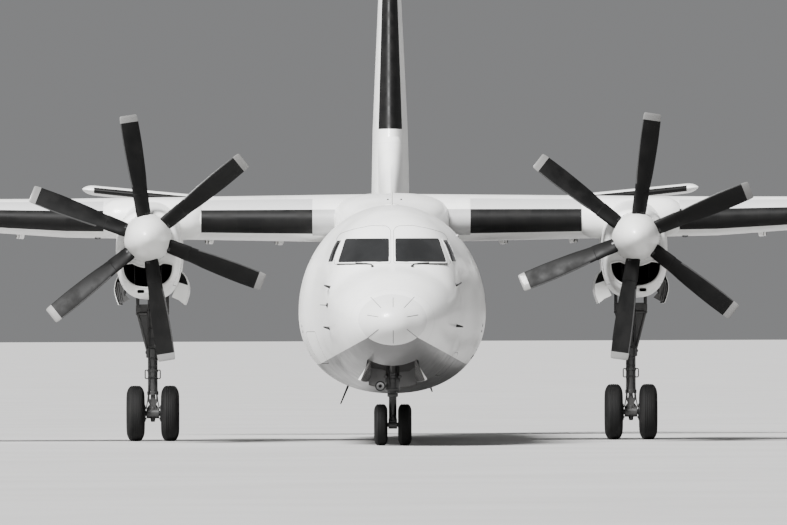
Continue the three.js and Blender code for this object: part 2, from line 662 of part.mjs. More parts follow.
const MAIN_AXLE_Z = 420;
const MAIN_AXLE = 40;
const gear = (x, aft, z) => at(NACELLE_X + x, MAIN_GEAR_S + aft, z);
const LEG = 73;
const LEG_BOTTOM = 700;
const TRUNNION_Z = 2690;
const wellEnd = 420 - SEAT_GAP;
const sideStays = [-1, 1].flatMap((way) => [
  rod(gear(way * 220, 0, TRUNNION_Z), gear(way * 220, 0, 1920), 26, 6),
  rod(gear(way * 220, 0, 1925), gear(way * 55, 0, 1320), 24, 6),
]);
const mainLeg = join([
  rod(gear(0, 0, LEG_BOTTOM), gear(0, 0, TRUNNION_Z), LEG, 14),
  rod(gear(-wellEnd, 0, TRUNNION_Z), gear(wellEnd, 0, TRUNNION_Z), 62, 10),
  rod(gear(0, 0, 1260), gear(0, 0, 1390), 100, 14),
  rod(gear(-235, 0, 1925), gear(235, 0, 1925), 28, 6),
  ...sideStays,
]);
const legSeat = rod(gear(0, 0, 600), gear(0, 0, TRUNNION_Z), 100 + SEAT_GAP, 14);
const dragBrace = cut(
  join([
    rod(gear(0, 0, 1330), gear(0, 820, 2700), 40, 10),
    rod(gear(-wellEnd, 820, 2700), gear(wellEnd, 820, 2700), 42, 10),
  ]),
  [legSeat],
);
const linkSeat = rod(gear(0, 0, LEG_BOTTOM - SEAT_GAP), gear(0, 0, 1250), LEG + SEAT_GAP, 14);
const mainStrut = cut(
  join([
    rod(gear(0, 0, MAIN_AXLE_Z), gear(0, 0, LEG_BOTTOM + 1), 54, 12),
    rod(gear(-95, 0, MAIN_AXLE_Z), gear(95, 0, MAIN_AXLE_Z), 78, 12),
    rod(gear(-398, 0, MAIN_AXLE_Z), gear(398, 0, MAIN_AXLE_Z), MAIN_AXLE, 12),
    rod(gear(0, 0, 290), gear(0, 0, MAIN_AXLE_Z), 28, 8, 46),
    rod(gear(0, 20, 500), gear(0, 260, 800), 24, 6),
    rod(gear(0, 260, 800), gear(0, 40, 1060), 24, 6),
  ]),
  [linkSeat],
);
addPair("main_leg", GEAR_GREY, mainLeg, gear(0, 0, TRUNNION_Z));
addPair("main_drag_brace", GEAR_GREY, dragBrace, gear(0, 820, 2700));
addPair("main_strut", GEAR_GREY, mainStrut, gear(0, 0, MAIN_AXLE_Z));

const MAIN_TYRE = [[205.3, -108], [265, -136.5], [365, -128], [MAIN_AXLE_Z, -62]];
const MAIN_RIM = [[MAIN_AXLE + PIN_GAP, -62], [186, -46], [205, -108]];
const mainWheels = wheelPair({ centre: gear(0, 0, MAIN_AXLE_Z), offset: 260, tyre: MAIN_TYRE, rim: MAIN_RIM });
mainWheels.forEach(({ tyre, rim, centre }, i) => {
  const place = ["outer", "inner"][i];
  addPair(`main_tyre_${place}`, TYRE_BLACK, tyre, centre);
  addPair(`main_rim_${place}`, BARE_METAL, rim, centre);
});

const BAY_DOOR = [[448, 2549.7], [528, 2440], [556, 2320], [540, 2180], [494, 2050]]; // off the nacelle's middle, z
for (const [place, way] of [["outboard", 1], ["inboard", -1]]) {
  const strips = BAY_DOOR.slice(1).map((lower, i) => {
    const upper = BAY_DOOR[i];
    const outline = [upper, lower, [lower[0] - 32, lower[1]], [upper[0] - 32, upper[1]]];
    return longPrism(outline.map(([x, z]) => [NACELLE_X + way * x, z]), [BAY_S[0] + 20, BAY_S[1] - 20]);
  });
  addPair(`main_door_${place}`, WHITE, join(strips), gear(way * 530, 0, DOOR_LINE_Z));
}

// Nose landing gear

const NOSE_AXLE_Z = 300;
const NOSE_AXLE = 32;
const NOSE_LEG_BOTTOM = 770;
const STEERING = 55;
const nose = (x, aft, z) => at(x, NOSE_GEAR_S + aft, z);
const bayEnd = NOSE_BAY_X - SEAT_GAP;
const noseLeg = cut(
  join([
    rod(nose(0, 0, NOSE_LEG_BOTTOM), nose(0, 0, 1340), 105, 16),
    rod(nose(-bayEnd, 0, 1330), nose(bayEnd, 0, 1330), 58, 10),
    rod(nose(0, 0, 1010), nose(0, -850, 1420), 38, 8),
    rod(nose(-bayEnd, -850, 1420), nose(bayEnd, -850, 1420), 40, 8),
  ]),
  [rod(nose(0, 0, 700), nose(0, 0, 965), STEERING + PIN_GAP, 24)],
);
const noseStrut = join([
  rod(nose(0, 0, NOSE_AXLE_Z), nose(0, 0, 955), STEERING, 24),
  rod(nose(-62, 0, NOSE_AXLE_Z), nose(62, 0, NOSE_AXLE_Z), 60, 12),
  rod(nose(-266, 0, NOSE_AXLE_Z), nose(266, 0, NOSE_AXLE_Z), NOSE_AXLE, 12),
  rod(nose(0, 20, 380), nose(0, 170, 560), 18, 6),
  rod(nose(0, 170, 560), nose(0, 20, 715), 18, 6),
]);
addOne("nose_leg", GEAR_GREY, noseLeg, nose(0, 0, 1330));
addOne("nose_strut", GEAR_GREY, noseStrut, nose(0, 0, NOSE_AXLE_Z));
const NOSE_TYRE = [[152.3, -80], [195, -98], [262, -92], [NOSE_AXLE_Z, -44]];
const NOSE_RIM = [[NOSE_AXLE + PIN_GAP, -46], [137, -34], [152, -80]];
const noseWheels = wheelPair({ centre: nose(0, 0, NOSE_AXLE_Z), offset: 172.5, tyre: NOSE_TYRE, rim: NOSE_RIM });
noseWheels.forEach(({ tyre, rim, centre }, i) => {
  const side = ["left", "right"][i];
  addOne(`nose_tyre_${side}`, TYRE_BLACK, tyre, centre);
  addOne(`nose_rim_${side}`, BARE_METAL, rim, centre);
});

// Nose bay doors, on flanges inside the bay's walls
function bellyZ(station, x) {
  const next = BODY.findIndex((row) => row[0] >= station);
  const [a, b] = [BODY[next - 1], BODY[next]];
  const [halfWidth, bottom, middle] = [1, 2, 3].map((k) =>
    THREE.MathUtils.mapLinear(station, a[0], b[0], a[k], b[k]),
  );
  return middle - (middle - bottom) * Math.sqrt(1 - (x / halfWidth) ** 2); // these sections are elliptical
}
const NOSE_DOOR = [
  // station, depth below the hinge line, width outside it
  [880, 285, 150],
  [1300, 165, 90],
  [1640, 90, 52],
];
const flangeX = NOSE_BAY_X - SEAT_GAP;
const noseDoorStrip = (outline) =>
  loft(
    NOSE_DOOR.map(([station, depth, width]) => {
      const hinge = bellyZ(station, NOSE_BAY_X);
      return outline(depth, width).map(([x, z]) => at(x, station, hinge + z));
    }),
  );
const noseDoor = join([
  noseDoorStrip(() => [[flangeX, 90], [flangeX - 34, 90], [flangeX - 34, -20], [flangeX, -20]]),
  noseDoorStrip((depth, width) => {
    const edge = flangeX + width;
    return [[flangeX, -16], [flangeX - 34, -20], [edge - 36, -depth], [edge, 14 - depth]];
  }),
]);
addPair("nose_door", WHITE, noseDoor, at(NOSE_BAY_X, 1300, 1100));

export default aircraft;
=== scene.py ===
"""The looks of a twin turboprop airliner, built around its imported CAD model.

Forms are worked out in millimetres as [x, station, z], where a station is the distance aft of
the nose tip, +x is the left (port) side and +z is up. A piece turns them into the frame's metres.
"""

import math

import bmesh
import bpy
import numpy as np
from mathutils import Matrix


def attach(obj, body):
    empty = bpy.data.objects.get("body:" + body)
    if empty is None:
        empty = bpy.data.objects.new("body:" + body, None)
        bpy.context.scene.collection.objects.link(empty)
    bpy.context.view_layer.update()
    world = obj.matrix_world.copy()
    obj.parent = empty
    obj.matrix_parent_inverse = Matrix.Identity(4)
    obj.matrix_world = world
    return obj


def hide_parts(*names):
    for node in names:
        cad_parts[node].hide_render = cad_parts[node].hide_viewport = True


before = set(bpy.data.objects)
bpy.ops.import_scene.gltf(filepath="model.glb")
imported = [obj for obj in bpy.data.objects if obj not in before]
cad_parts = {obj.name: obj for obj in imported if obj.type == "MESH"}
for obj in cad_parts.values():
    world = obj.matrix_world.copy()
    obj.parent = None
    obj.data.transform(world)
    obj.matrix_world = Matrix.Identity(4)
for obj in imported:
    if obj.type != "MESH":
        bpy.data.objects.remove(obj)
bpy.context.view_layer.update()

# Driving dimensions, as in the CAD model

LENGTH = 25247
SPAN = 29002
HEIGHT = 8317
TAIL_SPAN = 9746
GAP = 9  # between a moving piece and its opening
NOSE_GEAR_S = 2200
MAIN_GEAR_S = 11900
QUARTER_CHORD_S = 10650
BLADE_S = 7450
NACELLE_X = 3600
THRUST_Z = 3030
PROPELLER_RADIUS = 1830
SIDES = (("left", 1), ("right", -1))

# Numbers


def through(rows, wanted, warp=None):
    """The columns of a table at the wanted places of its first column, without overshoot."""
    rows = np.asarray(rows, float)
    place, values = rows[:, 0], rows[:, 1:]
    wanted = np.asarray(wanted, float)
    if warp:
        place, wanted = warp(place), warp(wanted)
    step = np.diff(place)[:, None]
    slope = np.diff(values, axis=0) / step
    tangent = np.vstack([slope[:1], np.zeros_like(slope[1:]), slope[-1:]])
    before, after = slope[:-1], slope[1:]
    same = before * after > 0
    weights = (2 * step[1:] + step[:-1], step[1:] + 2 * step[:-1])
    divided = weights[0] / np.where(same, before, 1) + weights[1] / np.where(same, after, 1)
    tangent[1:-1] = np.where(same, (weights[0] + weights[1]) / divided, 0)
    i = np.clip(np.searchsorted(place, wanted) - 1, 0, len(place) - 2)
    h = step[i]
    t = np.clip((wanted - place[i])[:, None] / h, 0, 1)
    return (
        values[i] * (1 + 2 * t) * (1 - t) ** 2
        + values[i + 1] * t**2 * (3 - 2 * t)
        + h * (tangent[i] * t * (1 - t) ** 2 - tangent[i + 1] * t**2 * (1 - t))
    )


def unit(vector):
    return vector / np.linalg.norm(vector)


def blend(a, b, t):
    return a + (b - a) * t


# Forms


class Form:
    """Points, faces and the look of each face, as an index into a piece's list of looks."""

    def __init__(self, points=(), faces=(), looks=0):
        self.points = np.asarray(points, float).reshape(-1, 3)
        self.faces = [tuple(int(i) for i in face) for face in faces]
        self.looks = [looks] * len(self.faces) if np.isscalar(looks) else [int(i) for i in looks]

    def placed(self, matrix):
        """Turned and moved by a 3 by 4 matrix."""
        matrix = np.asarray(matrix, float)
        return Form(self.points @ matrix[:, :3].T + matrix[:, 3], self.faces, self.looks)

    def moved(self, x=0.0, station=0.0, z=0.0):
        return Form(self.points + [x, station, z], self.faces, self.looks)

    def mirrored(self):
        return Form(self.points * [-1, 1, 1], [face[::-1] for face in self.faces], self.looks)

    def painted(self, look, where):
        """The faces whose middles pass a test get another look."""
        middles = np.array([self.points[list(face)].mean(0) for face in self.faces])
        hit = where(middles)
        return Form(self.points, self.faces, [look if h else old for h, old in zip(hit, self.looks)])


def join(*forms):
    points, faces, looks, shift = [], [], [], 0
    for form in forms:
        points.append(form.points)
        faces += [tuple(i + shift for i in face) for face in form.faces]
        looks += form.looks
        shift += len(form.points)
    return Form(np.vstack(points) if points else (), faces, looks)


def outward(form):
    """Faces turned so that the volume inside is positive."""
    volume = 0.0
    for face in form.faces:
        corners = form.points[list(face)] - form.points[0]
        for a, b in zip(corners[1:-1], corners[2:]):
            volume += corners[0] @ np.cross(a, b)
    if volume >= 0:
        return form
    return Form(form.points, [face[::-1] for face in form.faces], form.looks)


def loft(rings, look=0, ends=True, tips=(None, None)):
    """A skin through rings of equally many points; each end closes onto a point."""
    rings = np.asarray(rings, float)
    count, sides = rings.shape[:2]
    index = np.arange(count * sides).reshape(count, sides)
    index = np.hstack([index, index[:, :1]])
    quads = np.stack([index[:-1, :-1], index[:-1, 1:], index[1:, 1:], index[1:, :-1]], -1)
    shape = quads.shape[:2]
    looks = np.broadcast_to(np.asarray(look), shape).reshape(-1).tolist()
    faces = quads.reshape(-1, 4).tolist()
    points = rings.reshape(-1, 3)
    if not ends:
        return Form(points, faces, looks)
    for ring, tip, row, flip in ((index[0], tips[0], 0, True), (index[-1], tips[1], -1, False)):
        middle = rings[row].mean(0) if tip is None else np.asarray(tip, float)
        points = np.vstack([points, middle])
        for k, (a, b) in enumerate(zip(ring[:-1], ring[1:])):
            faces.append((len(points) - 1, b, a) if flip else (len(points) - 1, a, b))
            looks.append(looks[k if flip else (shape[0] - 1) * shape[1] + k])
    return outward(Form(points, faces, looks))


def axes_of(along):
    """Two unit vectors square to a direction."""
    along = unit(np.asarray(along, float))
    helper = np.array([0, 0, 1.0]) if abs(along[2]) < 0.9 else np.array([1.0, 0, 0])
    first = unit(np.cross(helper, along))
    return first, np.cross(along, first)


def lathe(profile, centre, axis, sides=48, look=0):
    """A profile of [radius, place along the axis] turned about the axis; its strips may differ in look."""
    axis = unit(np.asarray(axis, float))
    first, second = axes_of(axis)
    angles = 2 * math.pi * np.arange(sides) / sides
    circle = np.cos(angles)[:, None] * first + np.sin(angles)[:, None] * second
    rings = [np.asarray(centre) + place * axis + radius * circle for radius, place in profile]
    looks = look if np.isscalar(look) else np.asarray(look)[:, None]
    closed = profile[0] == profile[-1]
    return outward(loft(rings, looks, ends=not closed))


def tube(path, radius, sides=10, look=0, ends=True):
    """A round bar along a path; the radius may change along it."""
    path = np.asarray(path, float)
    steps = np.diff(path, axis=0)
    along = np.vstack([steps[:1], steps[:-1] + steps[1:], steps[-1:]])
    first, _ = axes_of(along[0])
    angles = 2 * math.pi * np.arange(sides) / sides
    rings = []
    for point, way, size in zip(path, along, np.broadcast_to(radius, len(path))):
        way = unit(way)
        first = unit(first - way * (first @ way))
        second = np.cross(way, first)
        rings.append(point + size * (np.cos(angles)[:, None] * first + np.sin(angles)[:, None] * second))
    return loft(rings, look, ends)


def rod(start, end, radius, sides=16, end_radius=None, look=0, bevel=0.0):
    """A straight bar, its ends eased by a bevel."""
    start, end = np.asarray(start, float), np.asarray(end, float)
    along = unit(end - start)
    far = radius if end_radius is None else end_radius
    if bevel:
        path = [start, start + bevel * along, end - bevel * along, end]
        return tube(path, [radius - bevel, radius, far, far - bevel], sides, look)
    return tube([start, end], [radius, far], sides, look)


def box(x, station, z, look=0):
    corners = [[a, b, c] for a in x for b in station for c in z]
    faces = [(0, 1, 3, 2), (4, 6, 7, 5), (0, 4, 5, 1), (2, 3, 7, 6), (0, 2, 6, 4), (1, 5, 7, 3)]
    return outward(Form(corners, faces, look))


def prism(outline, ends, axis, look=0):
    """A flat outline carried along an axis: x takes [station, z], station [x, z], and z [x, station]."""
    spot = {"x": 0, "station": 1, "z": 2}[axis]
    rings = [np.insert(np.asarray(outline, float), spot, end, axis=1) for end in ends]
    count = len(outline)
    faces = [(i, (i + 1) % count, count + (i + 1) % count, count + i) for i in range(count)]
    faces += [tuple(range(count))[::-1], tuple(range(count, 2 * count))]
    return outward(Form(np.vstack(rings), faces, look))


def rounded(outline, radius, steps=5):
    """A closed flat outline with its corners rounded."""
    outline = np.asarray(outline, float)
    points = []
    for before, corner, after in zip(np.roll(outline, 1, 0), outline, np.roll(outline, -1, 0)):
        inward, onward = before - corner, after - corner
        reach = min(radius, 0.45 * np.linalg.norm(inward), 0.45 * np.linalg.norm(onward))
        start, end = corner + reach * unit(inward), corner + reach * unit(onward)
        for t in np.linspace(0, 1, steps):
            points.append((1 - t) ** 2 * start + 2 * t * (1 - t) * corner + t**2 * end)
    return np.array(points)


def oblong(middle, size, radius, steps=5):
    """A rectangle with rounded corners, from its middle and size."""
    (u, v), (width, height) = middle, size
    corners = [(-1, -1), (1, -1), (1, 1), (-1, 1)]
    return rounded([[u + a * width / 2, v + b * height / 2] for a, b in corners], radius, steps)


def offset(outline, distance):
    """A closed flat outline moved outwards, or inwards where the distance is negative."""
    outline = np.asarray(outline, float)
    edges = np.roll(outline, -1, 0) - outline
    normals = np.stack([edges[:, 1], -edges[:, 0]], 1) / np.linalg.norm(edges, axis=1)[:, None]
    area = np.sum(outline[:, 0] * np.roll(outline[:, 1], -1) - np.roll(outline[:, 0], -1) * outline[:, 1])
    mitre = normals + np.roll(normals, 1, 0)
    mitre /= np.maximum((mitre * normals).sum(1), 0.3)[:, None]
    return outline + mitre * distance * np.sign(area)


def finer(outline, step=50):
    """A closed flat outline with points close enough together to follow a curved skin."""
    outline = np.asarray(outline, float)
    points = []
    for start, end in zip(outline, np.roll(outline, -1, 0)):
        count = max(1, math.ceil(np.linalg.norm(end - start) / step))
        points += [blend(start, end, k / count) for k in range(count)]
    return np.array(points)


# Meshes and pieces

BLANKS = [bpy.data.materials.new(f"blank_{i}") for i in range(8)]


def mesh_of(name, form, materials):
    mesh = bpy.data.meshes.new(name)
    points = (form.points - [0, LENGTH / 2, 0]) * 0.001
    mesh.from_pydata(points.tolist(), [], form.faces)
    for material in materials:
        mesh.materials.append(material)
    mesh.polygons.foreach_set("material_index", form.looks)
    tidy = bmesh.new()
    tidy.from_mesh(mesh)
    bmesh.ops.remove_doubles(tidy, verts=tidy.verts, dist=2e-5)
    bmesh.ops.dissolve_degenerate(tidy, edges=tidy.edges, dist=2e-5)
    tidy.to_mesh(mesh)
    tidy.free()
    return mesh


def object_of(name, mesh):
    shown = bpy.data.objects.new(name, mesh)
    bpy.context.scene.collection.objects.link(shown)
    return shown


def carved(form, tools, operation="DIFFERENCE"):
    """A form with the tools cut away; or, with INTERSECT, what it shares with them."""
    made = [object_of("carving", mesh_of("carving", each, BLANKS)) for each in [form, *tools]]
    for tool in made[1:]:
        modifier = made[0].modifiers.new("cut", "BOOLEAN")
        modifier.operation = operation
        modifier.solver = "MANIFOLD"
        modifier.object = tool
    evaluated = made[0].evaluated_get(bpy.context.evaluated_depsgraph_get())
    mesh = evaluated.to_mesh()
    points = np.array([vertex.co for vertex in mesh.vertices]) * 1000 + [0, LENGTH / 2, 0]
    faces = [tuple(face.vertices) for face in mesh.polygons]
    looks = [face.material_index for face in mesh.polygons]
    if not faces:
        raise ValueError("a cut left nothing")
    evaluated.to_mesh_clear()
    for each in made:
        bpy.data.meshes.remove(each.data)
    return Form(points, faces, looks)


def piece(name, form, body, looks, replaces=(), sharp=32, bevel=0.0):
    """A finished piece: its looks are recipes, and each face of the form says which it takes."""
    mesh = mesh_of(name, form, [look.material for look in looks])
    mesh.shade_smooth()
    mesh.set_sharp_from_angle(angle=math.radians(sharp))
    shown = object_of(name, mesh)
    if bevel:
        edge = shown.modifiers.new("eased_edges", "BEVEL")
        edge.width = bevel * 0.001
        edge.segments = 2
        edge.limit_method = "ANGLE"
        edge.angle_limit = math.radians(40)
        edge.harden_normals = True
    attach(shown, body)
    if replaces:
        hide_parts(*replaces)


def pair(name, form, body, looks, replaces=(), **settings):
    """The left piece and its mirror image; names with a {} take the side."""
    for side, sign in SIDES:
        each = form if sign > 0 else form.mirrored()
        nodes = [node.format(side) for node in replaces]
        piece(f"{name}_{side}", each, body.format(side), looks, nodes, **settings)


# Looks


class Recipe:
    """A procedural material, worked out from the object's own coordinates in metres."""

    def __init__(self, name, slot):
        self.slot = slot
        self.material = bpy.data.materials.new(name)
        self.material.use_nodes = True
        tree = self.material.node_tree
        self.nodes, self.links = tree.nodes, tree.links
        self.shader = self.nodes["Principled BSDF"]
        self.place = self.nodes.new("ShaderNodeTexCoord").outputs["Object"]
        self.x, self.y, self.z = self.node("ShaderNodeSeparateXYZ", [self.place]).outputs

    def put(self, socket, value):
        if isinstance(value, bpy.types.NodeSocket):
            self.links.new(value, socket)
        elif socket.type == "RGBA":
            socket.default_value = (*value, 1)
        else:
            socket.default_value = value

    def node(self, kind, values=(), **settings):
        made = self.nodes.new(kind)
        for key, value in settings.items():
            setattr(made, key, value)
        for key, value in values.items() if isinstance(values, dict) else enumerate(values):
            self.put(made.inputs[key], value)
        return made

    def math(self, operation, *values):
        return self.node("ShaderNodeMath", values, operation=operation).outputs[0]

    def noise(self, scale, detail=3.0, stretch=(1, 1, 1)):
        stretched = self.node("ShaderNodeVectorMath", [self.place, stretch], operation="MULTIPLY")
        inputs = {"Vector": stretched.outputs[0], "Scale": scale, "Detail": detail}
        return self.node("ShaderNodeTexNoise", inputs).outputs[0]

    def ramp(self, value, low, high, start=0.0, end=1.0):
        inputs = {"Value": value, "From Min": low, "From Max": high, "To Min": start, "To Max": end}
        return self.node("ShaderNodeMapRange", inputs).outputs[0]

    def mix(self, share, a, b):
        made = self.node("ShaderNodeMix", data_type="RGBA")
        self.put(made.inputs[0], share)
        self.put(made.inputs[6], a)
        self.put(made.inputs[7], b)
        return made.outputs[2]

    def seams(self, value, spacing, shift, width):
        """One on thin lines at even spaces, and nothing between them."""
        along = self.math("FLOORED_MODULO", self.math("ADD", value, shift), spacing)
        return self.math("LESS_THAN", along, width)

    def either(self, *values):
        total = values[0]
        for value in values[1:]:
            total = self.math("MAXIMUM", total, value)
        return total

    def finish(self, color, roughness, metal=0.0, bump=None, distance=0.001, strength=0.5, **fixed):
        self.put(self.shader.inputs["Base Color"], color)
        self.put(self.shader.inputs["Roughness"], roughness)
        self.put(self.shader.inputs["Metallic"], metal)
        for key, value in fixed.items():
            self.put(self.shader.inputs[key.replace("_", " ").title().replace("Ior", "IOR")], value)
        if bump is not None:
            inputs = {"Strength": strength, "Distance": distance, "Height": bump}
            self.put(self.shader.inputs["Normal"], self.node("ShaderNodeBump", inputs).outputs[0])
        return self


def grey(value, tint=0.0):
    """A grey, a little warm for a positive tint and cool for a negative one."""
    return (value * (1 + tint), value, value * (1 - tint))


def paint(name, slot, tone, dirt, gloss=0.3, seams=(), belly=None, rivets=False):
    """Sprayed metal: faint waviness, seams and rivet rows, and dirt that runs down and aft."""
    look = Recipe(name, slot)
    cloud = look.ramp(look.noise(0.9, 4), 0.35, 0.7)
    runs = look.ramp(look.noise(7, 5, (1, 0.6, 0.16)), 0.48, 0.78)
    specks = look.ramp(look.noise(40, 2), 0.66, 0.9)
    color = look.mix(cloud, tone, tuple(0.95 * c for c in tone))
    # two-tone paint: the grey belly below the waterline, its grey made darker than its own tone as painted
    # shade for the shaded underside
    if belly:
        color = look.mix(belly(look), color, grey(0.12))
    soil = look.math("MULTIPLY", look.math("ADD", look.math("MULTIPLY", runs, 0.5), cloud), dirt)
    soil = look.math("ADD", soil, look.math("MULTIPLY", specks, dirt * 0.2))
    color = look.mix(soil, color, grey(0.12, 0.08))
    height = look.math("MULTIPLY", look.noise(1.6, 2), 0.6)
    lines = [look.seams(getattr(look, axis), *sizes) for axis, *sizes in seams]
    if lines:
        marks = look.either(*lines)
        color = look.mix(look.math("MULTIPLY", marks, 0.3), color, grey(0.14))
        height = look.math("SUBTRACT", height, marks)
    if rivets:
        rows = [look.seams(getattr(look, axis), size, 0.02, 0.006) for axis, size in rivets]
        heads = look.math("MULTIPLY", look.math("MULTIPLY", *rows), 0.5)
        height = look.math("SUBTRACT", height, heads)
        color = look.mix(look.math("MULTIPLY", heads, 0.3), color, grey(0.3))
    rough = look.ramp(look.noise(5, 4), 0.3, 0.7, gloss, gloss + 0.14)
    return look.finish(color, rough, 0.0, height, 0.0012, 0.35, coat_weight=0.25, coat_roughness=0.12)


def below_waterline(look):
    """The grey belly: below a level line along the sides that slopes up towards the middle at the nose."""
    sideways = look.math("ABSOLUTE", look.x)
    line = look.math("SUBTRACT", 1.747, look.math("MULTIPLY", sideways, 0.548))
    return look.math("LESS_THAN", look.z, look.math("MAXIMUM", line, 1.17))


def metal(name, slot, tone, rough, brush=(1, 1, 1), wear=0.25, metallic=0.9):
    look = Recipe(name, slot)
    grain = look.noise(90, 4, brush)
    stain = look.ramp(look.noise(6, 5), 0.42, 0.75)
    color = look.mix(look.math("MULTIPLY", stain, wear), tone, tuple(0.35 * c for c in tone))
    color = look.mix(look.math("MULTIPLY", grain, 0.3), color, tuple(0.7 * c for c in tone))
    uneven = look.math("ADD", look.math("MULTIPLY", grain, 0.18), look.math("MULTIPLY", stain, 0.15))
    return look.finish(color, look.math("ADD", uneven, rough - 0.1), metallic, grain, 0.0006, 0.3)


def rubber(name, slot, tone, rough=0.6, ribs=None):
    look = Recipe(name, slot)
    dust = look.ramp(look.noise(5, 5), 0.4, 0.75)
    fine = look.noise(160, 2)
    color = look.mix(look.math("MULTIPLY", dust, 0.35), grey(tone), grey(tone * 1.8 + 0.004, 0.05))
    height = look.math("MULTIPLY", fine, 0.3)
    if ribs:
        axis, *sizes = ribs
        line = look.seams(getattr(look, axis), *sizes)
        height = look.math("ADD", height, line)
        color = look.mix(look.math("MULTIPLY", line, 0.4), color, grey(tone * 2.2))
    return look.finish(color, look.ramp(dust, 0, 1, rough, rough + 0.2), 0.0, height, 0.001, 0.5,
                       specular_ior_level=0.14)


def glass(name, tone, rough):
    look = Recipe(name, "glazing")
    smear = look.ramp(look.noise(3, 4, (1, 1, 0.4)), 0.4, 0.8)
    color = look.mix(smear, grey(tone, -0.03), grey(tone * 1.5 + 0.004, -0.03))
    ripple = look.noise(2.5, 1)
    return look.finish(color, look.ramp(smear, 0, 1, rough, rough + 0.08), 0.0, ripple, 0.001, 0.08,
                       coat_weight=0.6, coat_roughness=0.03, specular_ior_level=0.6)


def lamp(name, tone):
    """A lens with fine flutes, its colour lighter along them: a painted reflection of a bright reflector,
    which is not built behind it.
    """
    look = Recipe(name, "glazing")
    waves = {"Vector": look.place, "Scale": 60.0, "Distortion": 0.4}
    flutes = look.node("ShaderNodeTexWave", waves).outputs["Fac"]
    # painted reflection: the lens is made lighter along its flutes
    color = look.mix(flutes, tone, tuple(min(1, 1.4 * c + 0.05) for c in tone))
    return look.finish(color, look.ramp(flutes, 0, 1, 0.05, 0.16), 0.2, flutes, 0.001, 0.4,
                       coat_weight=0.8, coat_roughness=0.03)


WHITE_TONE = (0.83, 0.83, 0.815)
FUSELAGE_SEAMS = [("y", 1.68, 0.31, 0.006)]
WING_SEAMS = [("x", 1.37, 0.21, 0.005), ("y", 0.83, 0.05, 0.004)]
WHITE = paint("white_paint", "white_paint", WHITE_TONE, 0.07, 0.28, FUSELAGE_SEAMS, below_waterline,
              [("y", 0.045), ("z", 0.355)])
WING_WHITE = paint("wing_white_paint", "white_paint", WHITE_TONE, 0.13, 0.3, WING_SEAMS, None,
                   [("x", 0.04), ("y", 0.277)])
FIN_WHITE = paint("fin_white_paint", "white_paint", WHITE_TONE, 0.08, 0.3,
                  [("z", 0.94, 0.1, 0.005), ("y", 0.9, 0.2, 0.004)], None, [("z", 0.04), ("y", 0.3)])
COWL_WHITE = paint("cowling_paint", "white_paint", WHITE_TONE, 0.16, 0.3,
                   [("y", 1.05, 0.33, 0.007), ("z", 0.62, 0.1, 0.006)])
PLAIN_WHITE = paint("plain_white_paint", "white_paint", WHITE_TONE, 0.14, 0.32)
RADOME_WHITE = paint("radome_paint", "white_composite", (0.7, 0.7, 0.69), 0.14, 0.34)
# painted shade: a grey for the leading edge's root between the body and the boots, standing in for the shade
# under it
ROOT_PAINTED_SHADE = paint("wing_root_painted_shade", "white_paint", grey(0.38), 0.2, 0.36)
SPINNER_PALE = paint("spinner_paint", "white_composite", (0.72, 0.72, 0.7), 0.16, 0.3)
SILVER = metal("bare_leading_edge", "bare_metal", grey(0.74), 0.36, (1, 4, 4), 0.22, 0.35)
BOOT = rubber("deicing_boot", "white_paint", 0.006, 0.42, ("x", 0.19, 0.03, 0.006))
FIN_BOOT = rubber("fin_deicing_boot", "white_paint", 0.006, 0.42, ("z", 0.19, 0.03, 0.006))
SEAL = rubber("seal_rubber", "glazing", 0.02, 0.6)
COCKPIT_GLASS = glass("cockpit_glass", 0.008, 0.05)
CABIN_GLASS = glass("cabin_glass", 0.02, 0.09)
BLADE_BLACK = rubber("blade_composite", "blade_black", 0.003, 0.5)
BLADE_TIP = paint("blade_tip_paint", "blade_black", (0.15, 0.15, 0.148), 0.25, 0.5)
ERODED = metal("blade_edge_metal", "bare_metal", grey(0.1), 0.4, (1, 1, 1), 0.4)
TYRE = rubber("tyre_rubber", "tyre", 0.009, 0.7)
RIM = metal("wheel_rim", "bare_metal", grey(0.4), 0.36, (1, 1, 1), 0.5, 0.6)
GEAR_GREY = paint("gear_enamel", "gear_paint", grey(0.026, -0.02), 0.2, 0.42)
BULKHEAD = paint("bay_bulkhead_paint", "gear_paint", grey(0.2), 0.25, 0.5)
CHROME = metal("piston_chrome", "bare_metal", grey(0.8), 0.14, (1, 1, 0.1), 0.1, 1.0)
STEEL = metal("dark_steel", "bare_metal", grey(0.05), 0.42, (1, 1, 1), 0.5)
# painted shade: the nose gear's chrome piston, near-black as it stands in the shade under the nose; the main
# gears keep the bright chrome
SHADED_PISTON = metal("nose_piston_painted_shade", "bare_metal", grey(0.05), 0.25, (1, 1, 0.1), 0.4, 0.7)
EXHAUST = metal("burnt_exhaust", "bare_metal", (0.3, 0.27, 0.24), 0.42, (1, 4, 1), 0.6)
CURTAIN = rubber("cabin_curtain", "white_composite", 0.12, 0.8)
# near-black: real soot in the exhaust bores; painted shade behind windows, in intakes, slots, blade sockets
# and between door ribs; also the wheels' hole walls
SOOT_AND_SHADE = rubber("soot_and_painted_shade", "engine_metal", 0.008, 0.85)
BAY = paint("bay_primer", "gear_paint", grey(0.07, 0.04), 0.4, 0.55, [("y", 0.32, 0.1, 0.03)])
# the dark grey of the doors' insides, also used for a sheet of painted shade at the outboard doors' front
DOOR_INSIDE_AND_SHADE = paint("door_inside_and_painted_shade", "gear_paint", grey(0.045), 0.3, 0.5, [("y", 0.21, 0.03, 0.012)])
TREAD = rubber("tread_rubber", "gear_paint", 0.03, 0.7, ("y", 0.03, 0.0, 0.015))
LENS_CLEAR = lamp("clear_lens", (0.75, 0.77, 0.8))
LENS_RED = lamp("red_lens", (0.5, 0.02, 0.015))
LENS_GREEN = lamp("green_lens", (0.02, 0.32, 0.1))


# Fuselage surface

